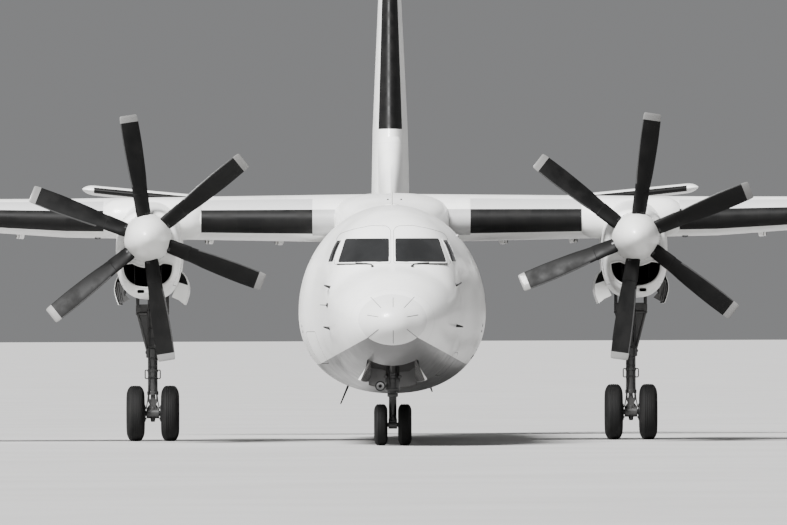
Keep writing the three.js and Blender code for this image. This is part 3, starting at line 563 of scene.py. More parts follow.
BODY = [
    # station, half width, bottom, widest place, top, squareness above and below the widest place
    [0, 0, 1768, 1768, 1768, 2, 2],
    [30, 150, 1655, 1768, 1885, 2, 2],
    [140, 310, 1535, 1770, 2005, 2, 2],
    [300, 465, 1425, 1780, 2105, 2, 2],
    [520, 580, 1290, 1800, 2225, 2, 2],
    [850, 705, 1150, 1835, 2355, 2, 2],
    [1250, 815, 1015, 1885, 2490, 2, 2],
    [1700, 905, 920, 1930, 2605, 2, 2],
    [1960, 945, 880, 1945, 2810, 2.1, 2.05],
    [2230, 985, 850, 1960, 2995, 2.2, 2.1],
    [2750, 1035, 805, 1965, 3260, 2.25, 2.15],
    [3400, 1160, 765, 1950, 3415, 2.05, 2.2],
    [4050, 1320, 745, 1935, 3470, 2, 2.2],
    [4700, 1360, 740, 1930, 3480, 2, 2.2],
    [16200, 1360, 740, 1930, 3480, 2, 2.2],
    [17600, 1345, 850, 1990, 3480, 2, 2.15],
    [19000, 1255, 1150, 2150, 3478, 2, 2.1],
    [20500, 1075, 1610, 2370, 3470, 2, 2],
    [22000, 840, 2060, 2600, 3445, 2, 2],
    [23500, 560, 2490, 2850, 3390, 2, 2],
    [24600, 310, 2790, 3010, 3310, 2, 2],
    [25130, 150, 2935, 3070, 3215, 2, 2],
    [25205, 105, 2978, 3078, 3178, 2, 2],
    [LENGTH, 0, 3080, 3080, 3080, 2, 2],
]
SADDLE = [
    # station, half width, bottom, widest place, top
    [8500, 350, 3100, 3250, 3440],
    [9000, 640, 3040, 3270, 3520],
    [9600, 830, 2980, 3300, 3640],
    [10100, 885, 2945, 3300, 3697],
    [11000, 905, 2930, 3290, 3715],
    [12500, 895, 2930, 3260, 3690],
    [13700, 800, 2960, 3220, 3600],
    [15300, 450, 3050, 3200, 3450],
]
SADDLE_POWER = 2.8  # how square the fairing's sections are
SADDLE_FADE = ([8500, 9100, 14600, 15300], [0, 1, 1, 0])  # stations, and the share of the fairing there
FILLET = 120  # reach of the blend between the body and the fairing over it


def body_rows(stations):
    return through(BODY, stations, np.sqrt).T


def half_width(stations, heights):
    """How far out the body's skin stands at each height, in millimetres."""
    stations, heights = np.atleast_1d(stations), np.atleast_1d(heights)
    half, bottom, middle, top, upper, lower = body_rows(stations)
    above = heights > middle
    reach = np.where(above, top - middle, middle - bottom)
    power = np.where(above, upper, lower)
    share = np.clip(np.abs(heights - middle) / np.maximum(reach, 1e-6), 0, 1)
    return half * (1 - share**power) ** (1 / power)


def body_side(outline, depth):
    """Points of the left side's skin under an outline of [station, z], moved inwards by a depth."""
    stations, heights = np.asarray(outline, float).T
    x = half_width(stations, heights)
    step = 5.0
    lengthwise = (half_width(stations + step, heights) - half_width(stations - step, heights)) / (2 * step)
    upright = (half_width(stations, heights + step) - half_width(stations, heights - step)) / (2 * step)
    normal = np.stack([np.ones_like(x), -lengthwise, -upright], 1)
    normal /= np.linalg.norm(normal, axis=1)[:, None]
    return np.stack([x, stations, heights], 1) - depth * normal


def body_front(outline, depth):
    """Points of the nose's skin that stand behind an outline of [x, z] as seen from the front."""
    across, heights = np.asarray(outline, float).T
    low, high = np.full(len(across), 1200.0), np.full(len(across), 3600.0)
    for _ in range(40):
        middle = (low + high) / 2
        outside = half_width(middle, heights) < np.abs(across)
        low, high = np.where(outside, middle, low), np.where(outside, high, middle)
    return body_side(np.stack([low, heights], 1), depth)


def fairing_reach(stations, middle, cosine, sine):
    """How far from the body's middle the fairing's skin stands on each spoke, or 0 where it has none."""
    width, low_edge, level, crest = [column[:, None, None] for column in through(SADDLE, stations).T]
    step = 8.0
    trials = np.arange(600, 2400, step)
    x, z = trials * np.abs(cosine)[..., None], middle[..., None] + trials * sine[..., None]
    rise = np.where(z > level, (z - level) / (crest - level), (level - z) / (level - low_edge))
    fill = (x / width) ** SADDLE_POWER + rise**SADDLE_POWER
    inside = fill < 1
    last = np.minimum(trials.size - 1 - np.argmax(inside[..., ::-1], axis=-1), trials.size - 2)
    near, far = [np.take_along_axis(fill, (last + ahead)[..., None], -1)[..., 0] for ahead in (0, 1)]
    edge = trials[last] + step * (1 - near) / np.maximum(far - near, 1e-9)
    return np.where(inside.any(-1), edge, 0)


def skin_rings(stations, sides):
    """Rings of the body and its wing fairing about the body's widest place, blended into each other."""
    angles = 2 * math.pi * (np.arange(sides) + 0.5) / sides
    half, bottom, middle, top, upper, lower = [column[:, None] for column in body_rows(stations)]
    cosine, sine = np.cos(angles)[None], np.sin(angles)[None]
    reach = np.where(sine > 0, top - middle, middle - bottom)
    power = np.where(sine > 0, upper, lower)
    with np.errstate(divide="ignore", invalid="ignore"):
        inverse = (np.abs(cosine) / half) ** power + (np.abs(sine) / reach) ** power
        radius = np.where(half > 0, inverse ** (-1 / power), 0)
    over = np.interp(stations, *SADDLE_FADE)[:, None]
    fairing = np.zeros_like(radius)
    under = over[:, 0] > 0
    spokes = [np.broadcast_to(each, radius.shape)[under] for each in (middle, cosine, sine)]
    fairing[under] = fairing_reach(stations[under], *spokes)
    blending = FILLET * over + 1e-6
    closeness = np.maximum(blending - np.abs(radius - fairing), 0) / blending
    radius = np.where(over > 0, np.maximum(radius, fairing) + closeness**2 * blending / 4, radius)
    ones = np.ones_like(radius)
    return np.stack([radius * cosine, stations[:, None] * ones, middle + radius * sine], -1)


def slab(outline, surface, top, bottom, wall=0, floor=0, rings=(0.2, 0.4, 0.6, 0.8, 1.0)):
    """A solid under an outline on a surface, between two depths; a tool for a recess, or a pane."""
    outline = finer(outline)
    middle = (outline.min(0) + outline.max(0)) / 2
    layers = [surface(middle + share * (outline - middle), top) for share in rings]
    layers += [surface(middle + share * (outline - middle), bottom) for share in rings[::-1]]
    tips = [surface(middle[None], depth)[0] for depth in (top, bottom)]
    looks = [floor] * (len(rings) - 1) + [wall] + [floor] * (len(rings) - 1)
    return loft(layers, np.array(looks)[:, None], tips=tips)


def band_edges(outline, width):
    """The inner and outer edge of a band along an outline, with equally many points."""
    fine = finer(outline)
    return offset(fine, -width / 2), offset(fine, width / 2)


def frame_on(outline, surface, width, top, bottom, look=0):
    """A closed band along an outline on a surface: a seam's tool, a seal or a raised frame."""
    inner, outer = band_edges(outline, width)
    rings = [surface(outer, top), surface(outer, bottom), surface(inner, bottom), surface(inner, top)]
    return outward(loft([*rings, rings[0]], look, ends=False))


# Fuselage, cockpit and cabin

CUT_SEAL, CUT_DARK, CUT_BAY, CUT_SEAM = range(1, 5)  # the skin itself is look 0
RADOME_CUT = [[-600, 500], [95, 500], [658, 3500], [-600, 3500]]
NOSE_BAY_X = 345
WINDSCREEN = [[50, 2640], [772, 2640], [667, 2970], [50, 2970]]  # x, z
SIDE_WINDOW = [[2450, 2650], [2765, 2650], [3005, 2945], [2750, 2945]]  # station, z
DOOR_S = (4250, 5000)
DOOR_Z = (1290, 2980)
DOOR_THICKNESS = 60
DOOR_HINGE = (1155, 1290)  # x, z
CABIN_WINDOWS = [5700 + 560 * i for i in range(22)]  # stations
CABIN_WINDOW_Z = 2330
CABIN_WINDOW = (300, 400)
HATCHES = [
    # side, from and to station, bottom and top: service door, rear doors, escape hatches, holds
    [-1, 4200, 4860, 1300, 2700],
    [1, 17250, 17900, 1480, 3010],
    [-1, 17250, 17900, 1480, 3010],
    [1, 10420, 10960, 1900, 2760],
    [-1, 10420, 10960, 1900, 2760],
    [-1, 5150, 5600, 1180, 1800],
    [1, 2700, 3100, 1000, 1330],
    [-1, 3300, 3850, 1180, 1640],
]


def mirrored_front(outline, depth):
    return body_front(outline, depth) * [-1, 1, 1]


def mirrored_side(outline, depth):
    return body_side(outline, depth) * [-1, 1, 1]


SURFACES = {1: (body_front, body_side), -1: (mirrored_front, mirrored_side)}
WINDSCREEN_EDGE = offset(rounded(WINDSCREEN, 22), 3)
SIDE_WINDOW_EDGE = offset(rounded(SIDE_WINDOW, 30), 3)
BROW = [[20, 2612], [20, 3105], [80, 3160], [310, 3165], [560, 3115], [745, 3058], [800, 2990], [838, 2600]]


def rectangle(front, back, low, high):
    return [[front, low], [back, low], [back, high], [front, high]]


def radome_space(shift):
    outline = [[s if s < 0 else s + shift, z] for s, z in RADOME_CUT]
    return prism(outline, (-2000, 2000), "x")


def body_form(inset=0):
    """The body's skin, with stations close together where it curves."""
    stations = np.concatenate([
        5000 * np.linspace(0.02, 1, 64) ** 2,
        np.arange(5200, 8500, 200),
        np.arange(8500, 15400, 100),
        np.arange(15500, 25100, 150),
        [25130, 25180, 25220, 25240],
    ])
    rings = skin_rings(stations, 120)
    if inset:
        middle = body_rows(stations)[2]
        centre = np.stack([0 * stations, stations, middle], 1)[:, None]
        spokes = rings - centre
        length = np.linalg.norm(spokes, axis=2, keepdims=True)
        rings = centre + spokes * np.maximum(1 - inset / np.maximum(length, 1), 0.02)
    return loft(rings, tips=([0, 0, 1768], [0, LENGTH, 3080]))


def door_block(gap):
    return box((600, 1600), (DOOR_S[0] - gap, DOOR_S[1] + gap), (DOOR_Z[0], DOOR_Z[1] + gap), CUT_DARK)


def build_fuselage():
    whole = body_form()
    tools = [radome_space(2.5)]
    windows = []
    panes, seals = {}, []
    for side, sign in SIDES:
        front, beside = SURFACES[sign]
        panes[f"windscreen_{side}"] = slab(WINDSCREEN_EDGE, front, 2, 15)
        panes[f"side_window_{side}"] = slab(SIDE_WINDOW_EDGE, beside, 2, 15)
        for edge, surface in ((WINDSCREEN_EDGE, front), (SIDE_WINDOW_EDGE, beside)):
            # the floor behind each cockpit pane is near-black: painted shade for the unlit inside
            tools.append(slab(edge, surface, -60, 18, CUT_SEAL, CUT_DARK))
            seals.append(frame_on(offset(edge, 15), surface, 22, -2.5, 6))
            seals.append(frame_on(offset(edge, 1), surface, 7, -0.5, 8, look=1))
        for station in CABIN_WINDOWS:
            edge = oblong((station, CABIN_WINDOW_Z), CABIN_WINDOW, 115, 6)
            # the floor behind each cabin pane is near-black too: painted shade for the unlit cabin
            windows.append(slab(edge, beside, -40, 26, CUT_SEAL, CUT_DARK))
        tools.append(frame_on(rounded(BROW, 40), front, 5, -30, 5, CUT_SEAM))
        hatches = [rounded(rectangle(*ends), 90, 6) for where, *ends in HATCHES if where == sign]
        tools += [frame_on(hatch, beside, 7, -30, 7, CUT_SEAM) for hatch in hatches]
    bay = box((-NOSE_BAY_X, NOSE_BAY_X), (850, 2620), (300, 1500), CUT_BAY)
    recess = carved(door_block(GAP), [body_form(DOOR_THICKNESS + GAP)])
    recess = recess.painted(CUT_BAY, lambda middles: middles[:, 0] > -1)
    x, z = DOOR_HINGE
    groove = rod([x, DOOR_S[0] - GAP, z], [x, DOOR_S[1] + GAP, z], 60, 24, look=CUT_BAY)
    vestibule = box((640, 1500), (DOOR_S[0] + 50, DOOR_S[1] - 50), (1300, 2930), CUT_BAY)
    skin = carved(whole, [*tools, bay, recess, groove, vestibule])
    skin = carved(skin, [join(*windows)])
    looks = [WHITE, SEAL, SOOT_AND_SHADE, BAY, SEAL]
    piece("fuselage_skin", skin, "airframe", looks, ["fuselage"])
    radome = carved(whole, [radome_space(0)], "INTERSECT")
    piece("radome_shell", radome, "airframe", [RADOME_WHITE], ["radome"])
    for name, form in panes.items():
        piece(f"{name}_pane", form, "airframe", [COCKPIT_GLASS], [name])
    piece("cockpit_window_frames", join(*seals), "airframe", [PLAIN_WHITE, SEAL], bevel=1.2)
    build_cabin_windows()
    return whole


def build_cabin_windows():
    for side, sign in SIDES:
        beside = SURFACES[sign][1]
        panes, rims = [], []
        for station in CABIN_WINDOWS:
            edge = oblong((station, CABIN_WINDOW_Z), CABIN_WINDOW, 115, 6)
            panes.append(slab(edge, beside, 9, 20))
            rims.append(frame_on(offset(edge, 5), beside, 20, -1.5, 10))
        piece(f"cabin_windows_{side}", join(*panes), "airframe", [CABIN_GLASS])
        piece(f"cabin_window_rims_{side}", join(*rims), "airframe", [PLAIN_WHITE])


# Airstair door: its skin, the tray behind it, its treads and its rails

DOOR_SKIN, DOOR_TRAY, DOOR_TREAD, DOOR_RAIL, DOOR_SEAL = range(5)
TREADS = 5


def door_outline(inset_s, inset_z, radius):
    """The doorway's outline, drawn in by an inset along the aircraft and one upright."""
    front, back, low, high = *DOOR_S, *DOOR_Z
    return rounded(rectangle(front + inset_s, back - inset_s, low + inset_z, high - inset_z), radius)


def build_airstair(whole):
    middle_s = sum(DOOR_S) / 2
    shell = carved(carved(whole, [door_block(0)], "INTERSECT"), [body_form(26)])
    shell = shell.painted(DOOR_SKIN, lambda middles: middles[:, 0] > -1)
    parts = [shell]
    edge = door_outline(30, 34, 70)
    parts.append(slab(edge, body_side, 22, DOOR_THICKNESS - 4, DOOR_TRAY, DOOR_TRAY))
    parts.append(frame_on(offset(edge, 12), body_side, 16, 24, DOOR_THICKNESS - 8, DOOR_SEAL))
    for i in range(TREADS):
        height = 1470 + 285 * i
        inner = float(half_width(middle_s, height)[0]) - DOOR_THICKNESS
        outline = np.array([[8, -14], [-215, -14], [-222, 0], [-215, 12], [8, 12]]) + [inner, height]
        parts.append(prism(outline, (middle_s - 275, middle_s + 275), "station", DOOR_TREAD))
        for end in (-275, 275):
            gusset = [[inner + 6, height - 12], [inner - 190, height - 12], [inner + 6, height - 110]]
            parts.append(prism(gusset, (middle_s + end - 5, middle_s + end + 5), "station", DOOR_TRAY))
    for end in (-298, 298):
        path = []
        for height in np.linspace(1420, 2680, 12):
            ease = min(1, (height - 1420) / 160, (2680 - height) / 160)
            path.append([float(half_width(middle_s, height)[0]) - 52 - 90 * ease, middle_s + end, height])
        parts.append(tube(path, 13, 12, DOOR_RAIL))
    hinge = [[DOOR_HINGE[0], station, DOOR_HINGE[1]] for station in DOOR_S]
    knuckle = rod(*hinge, 26, 24, look=DOOR_TRAY, bevel=2)
    handle = frame_on(oblong((middle_s + 120, 2100), (190, 90), 40), body_side, 5, -1.5, 3, DOOR_SEAL)
    grip = slab(oblong((middle_s + 120, 2100), (150, 26), 12), body_side, -3, 4, DOOR_RAIL, DOOR_RAIL)
    form = join(*parts, knuckle, handle, grip)
    looks = [PLAIN_WHITE, DOOR_INSIDE_AND_SHADE, TREAD, CHROME, SEAL]
    piece("airstair_door_panel", form, "airstair_door", looks, ["airstair_door"], bevel=1.0)
    rail = frame_on(door_outline(62, 62, 60), body_side, 20, 74, 84)
    mat = box((650, 1085), (DOOR_S[0] + 60, DOOR_S[1] - 60), (1301, 1309), 1)
    folds = []
    for i in range(19):
        x, station = 672 + 9 * (i % 2), DOOR_S[0] + 70 + 34 * i
        folds.append(tube([[x, station, 1310], [x, station, 2920]], 22, 8, 2))
    piece("doorway_lining", join(rail, mat, *folds), "airframe", [SEAL, TREAD, CURTAIN])
    stations = np.linspace(4150, 5100, 16)
    drip = [body_side([[s, DOOR_Z[1] + 55 - abs(s - middle_s) * 0.02]], -6)[0] for s in stations]
    piece("door_drip_rail", tube(drip, 10, 8), "airframe", [PLAIN_WHITE])


# Wings and tail surfaces

FRACTIONS = [1, 0.95, 0.88, 0.8, 0.71, 0.61, 0.51, 0.42, 0.34, 0.27, 0.2, 0.14, 0.095, 0.068, 0.05, 0.028,
             0.016, 0.008, 0.002]
WING_CAMBER = 0.015
EDGE = 4  # half thickness of a trailing edge
PANEL_JOINT_X = 4870


def half_thickness(f, chord, ratio):
    curve = 0.2969 * math.sqrt(f) - 0.126 * f - 0.3516 * f**2 + 0.2843 * f**3 - 0.1036 * f**4
    return 5 * ratio * chord * curve + EDGE * f


def section(reach, z, lead, chord, ratio, camber=0.0):
    """One section: its reach along the span, the height of its chord line, and its size."""
    return np.array([reach, z, lead, chord, ratio, camber], float)


def airfoil(row):
    """Points [station, height off the section's zero] from the trailing edge over the top and back below."""
    _, _, lead, chord, ratio, camber = row
    upper, lower = [], []
    for f in FRACTIONS:
        mean, half = 4 * camber * chord * f * (1 - f), half_thickness(f, chord, ratio)
        upper.append([lead + f * chord, mean + half])
        lower.append([lead + f * chord, mean - half])
    return np.array([*upper, [lead, 0], *lower[::-1]])


def spanwise(rows, look_of, upright=False):
    """A wing-like skin; look_of(reach, chord fraction, on top) gives each strip its look."""
    rings = []
    for row in rows:
        outline = airfoil(row)
        if upright:
            rings.append(np.stack([outline[:, 1], outline[:, 0], np.full(len(outline), row[0])], 1))
        else:
            rings.append(np.stack([np.full(len(outline), row[0]), outline[:, 0], row[1] + outline[:, 1]], 1))
    edges = [*FRACTIONS, 0, *FRACTIONS[::-1]]
    count = len(edges)
    looks = []
    for a, b in zip(rows[:-1], rows[1:]):
        reach = (a[0] + b[0]) / 2
        looks.append([
            look_of(reach, (edges[k] + edges[(k + 1) % count]) / 2, k < count // 2) for k in range(count)
        ])
    return loft(rings, looks)


def mixed(rows, reach):
    """The section of a straight-sided surface at a place along its span."""
    rows = np.asarray(rows)
    return np.array([np.interp(reach, rows[:, 0], column) for column in rows.T])


def place_on(rows, reach, f, upright=False):
    """The point on the mean surface at a chord fraction, and half the thickness there."""
    _, z, lead, chord, ratio, camber = mixed(rows, reach)
    half = half_thickness(f, chord, ratio)
    if upright:
        return np.array([0, lead + f * chord, reach]), half
    return np.array([reach, lead + f * chord, z + 4 * camber * chord * f * (1 - f)]), half


def hinge_frame(start, end):
    """A matrix from a hinge's own axes, along, aft and up, to the aircraft's, and the hinge's length."""
    along = unit(end - start)
    up = unit(np.cross(along, [0, 1, 0]))
    return np.column_stack([along, np.cross(up, along), up, start]), np.linalg.norm(end - start)


def hinge_round(hinge, places, grow, look):
    """Rounds about a hinge line through [place along it, radius]."""
    path = [[place, 0, 0] for place, _ in places]
    return tube(path, [radius + grow for _, radius in places], 44, look).placed(hinge)


def control_surface(whole, places, look):
    """The fixed and the moving part of a surface that is hinged through its thickness."""
    start, end = places[0][0], places[-1][0]
    hinge, length = hinge_frame(start, end)
    rounds = [[np.linalg.norm(point - start), half - 2] for point, half in places]
    cove = [[-GAP, rounds[0][1]], *rounds[1:-1], [length + GAP, rounds[-1][1]]]
    slab_of = lambda low, high: box((low, high), (0, 3000), (-800, 800), look).placed(hinge)
    moving = carved(whole, [slab_of(0, length)], "INTERSECT")
    nose = carved(hinge_round(hinge, rounds, 0, look), [slab_of(-50, length + 50)])
    nose = carved(nose, [whole], "INTERSECT")
    fixed = carved(whole, [slab_of(-GAP, length + GAP)])
    fixed = carved(fixed, [hinge_round(hinge, cove, GAP, look)])
    return fixed, join(moving, nose), hinge


WING_SKIN, WING_BOOT, WING_BAND, WING_DARK, WING_UNDER, WING_ROOT_SHADE = range(6)
INNER_FLAP = (1430, 2975, 0.69)
OUTER_FLAP = (4985, 8650, 0.69)
AILERON = (8900, 13850, 0.73)
FLAP_DROP = 140
BRACKET = [[-640, 270], [-560, 60], [-330, -12], [-20, -40], [48, -26], [36, 46], [-60, 250]]
ARM = [[-40, 10], [-24, -34], [30, -34], [460, 150], [470, 210], [420, 240], [45, 240]]


def wing_row(x, middle, ratio, shrink=1.0):
    chord = (3464 - 2064 * abs(x) / 14500) * (0.9 + 0.1 * shrink if shrink < 1 else 1)
    z = middle - 0.9 * WING_CAMBER * chord
    return section(x, z, QUARTER_CHORD_S - 0.25 * chord, chord, ratio * shrink, WING_CAMBER)


CENTRE = [wing_row(0, 3338, 0.212), wing_row(PANEL_JOINT_X, 3358, 0.209)]
OUTER = [wing_row(PANEL_JOINT_X, 3370, 0.191), wing_row(6200, 3402, 0.187), wing_row(14050, 3690, 0.152)]


def wing_rows_outer():
    joint = CENTRE[1].copy()
    joint[0] += 0.3
    rows = [joint] + [mixed(OUTER, x) for x in (6200, 7600, 9000, 10800, 12600, 14050)]
    for t in (0.2, 0.38, 0.54, 0.68, 0.8, 0.9, 0.97, 1.0):
        x = blend(14050, SPAN / 2, t)
        rows.append(wing_row(x, blend(3690, 3742, t), 0.152, max(0.12, math.sqrt(1 - t * t))))
    return rows


def wing_look(reach, f, upper):
    reach = abs(reach)
    booted = 1178 < reach < 2840 or 4300 < reach < 14050
    # inboard of the boots the leading edge takes a grey of painted shade
    if reach < 1178 and f < (0.03 if upper else 0.06):
        return WING_ROOT_SHADE
    if booted and f < (0.03 if upper else 0.045):
        return WING_BOOT
    if booted and upper and f < 0.12:
        return WING_BAND
    if not upper and f > 0.05:
        return WING_UNDER
    return WING_SKIN


def flap_parts(whole, rows, reach_from, reach_to, f):
    """A flap on arms, the space that it leaves, and the fairings that its hinges hang from."""
    ends = []
    for reach in (reach_from, reach_to):
        point, half = place_on(rows, reach, f)
        ends.append(point - [0, 0, half + FLAP_DROP])
    hinge, length = hinge_frame(*ends)
    arms, fairings, pins = [], [], []
    for share in (0.16, 0.84):
        middle = share * length
        fairing = prism(rounded(BRACKET, 40, 4), (middle - 32, middle + 32), "x", WING_UNDER)
        arm = prism(rounded(ARM, 26, 4), (middle + 40, middle + 68), "x", WING_UNDER)
        pin = rod([middle - 38, 0, 0], [middle + 80, 0, 0], 20, 20, look=WING_DARK, bevel=3)
        fairings.append(fairing.placed(hinge))
        arms.append(arm.placed(hinge))
        pins.append(pin.placed(hinge))
    moving = carved(whole, [box((0, length), (0, 3000), (-800, 800), WING_DARK).placed(hinge)], "INTERSECT")
    space = box((-GAP, length + GAP), (-GAP, 3000), (-800, 800), WING_DARK).placed(hinge)
    return join(moving, *arms), space, join(*fairings, *pins)


def build_wings():
    looks = [WING_WHITE, BOOT, SILVER, BAY, PLAIN_WHITE, ROOT_PAINTED_SHADE]
    spots = [0, 600, 1178, 2000, 2840, 3600, 4300, PANEL_JOINT_X]
    rows = [mixed(CENTRE, x) for x in spots]
    mirror_rows = [row * [-1, 1, 1, 1, 1, 1] for row in rows[:0:-1]]
    whole = spanwise([*mirror_rows, *rows], wing_look)
    inner, space, fairings = flap_parts(whole, CENTRE, *INNER_FLAP)
    body = carved(whole, [space, space.mirrored()])
    piece("wing_centre_box", join(body, fairings, fairings.mirrored()), "airframe", looks, ["wing_centre"])
    pair("flap_inner_panel", inner, "flap_inner_{}", looks, ["flap_inner_{}"])

    whole = spanwise(wing_rows_outer(), wing_look)
    ends = [place_on(OUTER, x, AILERON[2]) for x in AILERON[:2]]
    fixed, aileron, _ = control_surface(whole, ends, WING_DARK)
    outer, space, fairings = flap_parts(whole, OUTER, *OUTER_FLAP)
    pair("wing_outer_panel", join(carved(fixed, [space]), fairings), "airframe", looks, ["wing_outer_{}"])
    pair("flap_outer_panel", outer, "flap_outer_{}", looks, ["flap_outer_{}"])
    pair("aileron_panel", aileron, "aileron_{}", looks, ["aileron_{}"])


def tail_row(x, shrink=1.0):
    slope = math.tan(math.radians(6))
    chord = (2100 - 850 * x / 4873) * (0.85 + 0.15 * shrink)
    return section(x, 3400 + x * slope, 21950 + 500 * x / 4873 + (1 - shrink) * 60, chord, 0.12 * shrink)


TAIL = [tail_row(20), tail_row(4690)]


def tail_look(reach, f, upper):
    if 320 < reach < 4690 and f < 0.05:
        return WING_BOOT
    return WING_SKIN if upper else WING_UNDER


def build_tailplane():
    looks = [FIN_WHITE, BOOT, SILVER, BAY, PLAIN_WHITE]
    rows = [tail_row(x) for x in (20, 320, 1800, 3300, 4690)]
    for t in (0.3, 0.55, 0.75, 0.9, 1.0):
        rows.append(tail_row(blend(4690, TAIL_SPAN / 2, t), max(0.2, math.sqrt(1 - t * t))))
    whole = spanwise(rows, tail_look)
    ends = [place_on(TAIL, x, 0.64) for x in (780, 4580)]
    fixed, moving, hinge = control_surface(whole, ends, WING_DARK)
    horn = rounded([[42, 50], [92, 50], [86, 205], [54, 205]], 12)
    horn = prism(horn, (1130, 1146), "x", WING_UNDER).placed(hinge)
    pair("tailplane_panel", fixed, "airframe", looks, ["tailplane_{}"])
    pair("elevator_panel", join(moving, horn), "elevator_{}", looks, ["elevator_{}"])


FIN = [
    # height, thickness ratio; the chord and leading edge taper evenly between their ends
    [3200, 0.135], [3900, 0.1455], [4880, 0.158], [6910, 0.158], [8130, 0.15], [HEIGHT, 0.15],
]
RUDDER = ((3760, 0.66), (8050, 0.62))
DORSAL = [
    # station, half width, height of the ridge
    [17000, 20, 3490],
    [18600, 70, 3700],
    [20000, 105, 4150],
    [20900, 130, 4780],
]


def fin_row(z, shrink=1.0):
    lead = np.interp(z, [3200, 8250], [20100, 22450]) + (1 - shrink) * 90
    chord = np.interp(z, [3200, 8250], [4450, 1500]) * (0.88 + 0.12 * shrink)
    ratio = np.interp(z, *np.array(FIN).T)
    return section(z, 0, lead, chord, ratio * shrink)


def fin_look(reach, f, _):
    return WING_BOOT if 4825 < reach < 8130 and f < 0.06 else WING_SKIN


def build_fin():
    looks = [FIN_WHITE, FIN_BOOT, SILVER, BAY, PLAIN_WHITE]
    rows = [fin_row(z) for z in (3200, 3550, 3900, 4400, 4825, 5900, 6910, 7500, 8130)]
    for t in (0.35, 0.62, 0.82, 0.94, 1.0):
        rows.append(fin_row(blend(8130, HEIGHT, t), max(0.2, math.sqrt(1 - t * t))))
    whole = spanwise(rows, fin_look, upright=True)
    ends = [place_on([fin_row(z)] * 2, z, f, True)[0] for z, f in RUDDER]
    places = []
    for z in (RUDDER[0][0], 4825, 6910, RUDDER[1][0]):
        row = fin_row(z)
        station = np.interp(z, [ends[0][2], ends[1][2]], [ends[0][1], ends[1][1]])
        half = half_thickness((station - row[2]) / row[3], row[3], row[4])
        places.append((np.array([0, station, z]), half))
    fixed, rudder, _ = control_surface(whole, places, WING_DARK)
    rings = []
    stations = np.linspace(DORSAL[0][0], DORSAL[-1][0], 24)
    for station, (half, ridge) in zip(stations, through(DORSAL, stations)):
        side = [[1.6, 3200 - ridge], [1.5, -260], [1.25, -150], [0.95, -70], [0.55, -20], [0, 0]]
        outline = [[half * a, ridge + b] for a, b in side] + [[-half * a, ridge + b] for a, b in side[-2::-1]]
        rings.append([[x, station, z] for x, z in outline])
    piece("fin_panel", join(fixed, loft(rings)), "airframe", looks, ["fin"])
    piece("rudder_panel", rudder, "rudder", looks, ["rudder"])


# Nacelles, engines' inlets and exhausts

NACELLE = [
    # station, half width, bottom, widest place, top, squareness
    [7645, 368, 2600, 3000, 3398, 2],
    [7665, 415, 2240, 2920, 3414, 2.2],
    [7730, 452, 2185, 2890, 3432, 2.5],
    [7950, 474, 2150, 2850, 3455, 2.6],
    [8500, 484, 2132, 2810, 3490, 2.6],
    [9400, 480, 2130, 2800, 3545, 2.6],
    [10200, 470, 2130, 2800, 3605, 2.6],
    [10900, 464, 2130, 2800, 3625, 2.6],
    [12000, 464, 2150, 2820, 3550, 2.6],
    [12960, 455, 2330, 2880, 3480, 2.4],
    [13800, 360, 2590, 2960, 3390, 2.2],
    [14600, 200, 2850, 3060, 3280, 2],
    [15050, 60, 3030, 3120, 3200, 2],
]
BAY_S = (10750, 12950)
DOOR_LINE_Z = 2550
INTAKE = (370, 2300, 2626, 2672)  # half width, bottom, widest place, top
CHIN_INLET = (104, 2243)  # off the nacelle's middle, and height
INTAKE_DUCT = ((7500, 1.0), (7800, 1.0), (8150, 0.9), (8600, 0.72), (8880, 0.6))  # station, size
INTAKE_Z = 2465  # the line that the duct narrows towards
COWL_PANELS = (
    # front, back, bottom, top, corner radius, width of the seam
    (7860, 9140, 2330, 3330, 70, 7), (10350, 10680, 2700, 3000, 40, 6),
)
EXHAUST_LINE = ([NACELLE_X + 330, 9250, 2640], [NACELLE_X + 385, 10150, 2640])
COWL, COWL_LIP, COWL_DARK, COWL_BAY, COWL_SEAM = range(5)


def oval(half, bottom, middle, top, power, sides):
    angles = 2 * math.pi * (np.arange(sides) + 0.5) / sides
    bend = lambda value: np.sign(value) * np.abs(value) ** (2 / power)
    up = bend(np.sin(angles))
    reach = np.where(up > 0, top - middle, middle - bottom)
    return np.stack([half * bend(np.cos(angles)), middle + reach * up], 1)


def nacelle_row(station):
    return through(NACELLE, [station])[0]


def nacelle_side(outline, depth):
    """Points of the outboard side of the nacelle under an outline of [station, z]."""
    points = []
    for station, z in np.asarray(outline, float):
        half, bottom, middle, top, power = nacelle_row(station)
        reach = top - middle if z > middle else middle - bottom
        share = min(abs(z - middle) / reach, 1)
        x = half * (1 - share**power) ** (1 / power)
        steep = (abs(z - middle) / reach * half / max(x, 50)) ** (power - 1)
        normal = unit(np.array([1, 0, steep * (half / reach) * np.sign(z - middle)]))
        points.append(np.array([NACELLE_X + x, station, z]) - depth * normal)
    return np.array(points)


def nacelle_inner(outline, depth):
    """The same on the inboard side."""
    return nacelle_side(outline, depth) * [-1, 1, 1] + [2 * NACELLE_X, 0, 0]


def nacelle_front(outline, depth):
    """Points of the nacelle's front that stand behind an outline of [x off its middle, z]."""
    points = []
    for x, z in np.asarray(outline, float):
        low, high = 7646.0, 7949.0
        for _ in range(26):
            trial = (low + high) / 2
            half, bottom, middle, top, power = nacelle_row(trial)
            reach = top - middle if z > middle else middle - bottom
            outside = (abs(x) / half) ** power + (abs(z - middle) / reach) ** power > 1
            low, high = (trial, high) if outside else (low, trial)
        points.append([NACELLE_X + x, low + depth, z])
    return np.array(points)


def thrust_point(station):
    return [NACELLE_X, station, THRUST_Z]


def smile(grow=0.0):
    """The mouth's outline: an oval that the circle of the spinner's foot bites into from above."""
    half, bottom, middle, top = INTAKE
    points = []
    for x, z in oval(half + grow, bottom - grow, middle, top + grow, 2.3, 72):
        roof = THRUST_Z - math.sqrt(max((430 - grow) ** 2 - x**2, 0))
        points.append([x, min(z, roof)])
    return np.array(points)


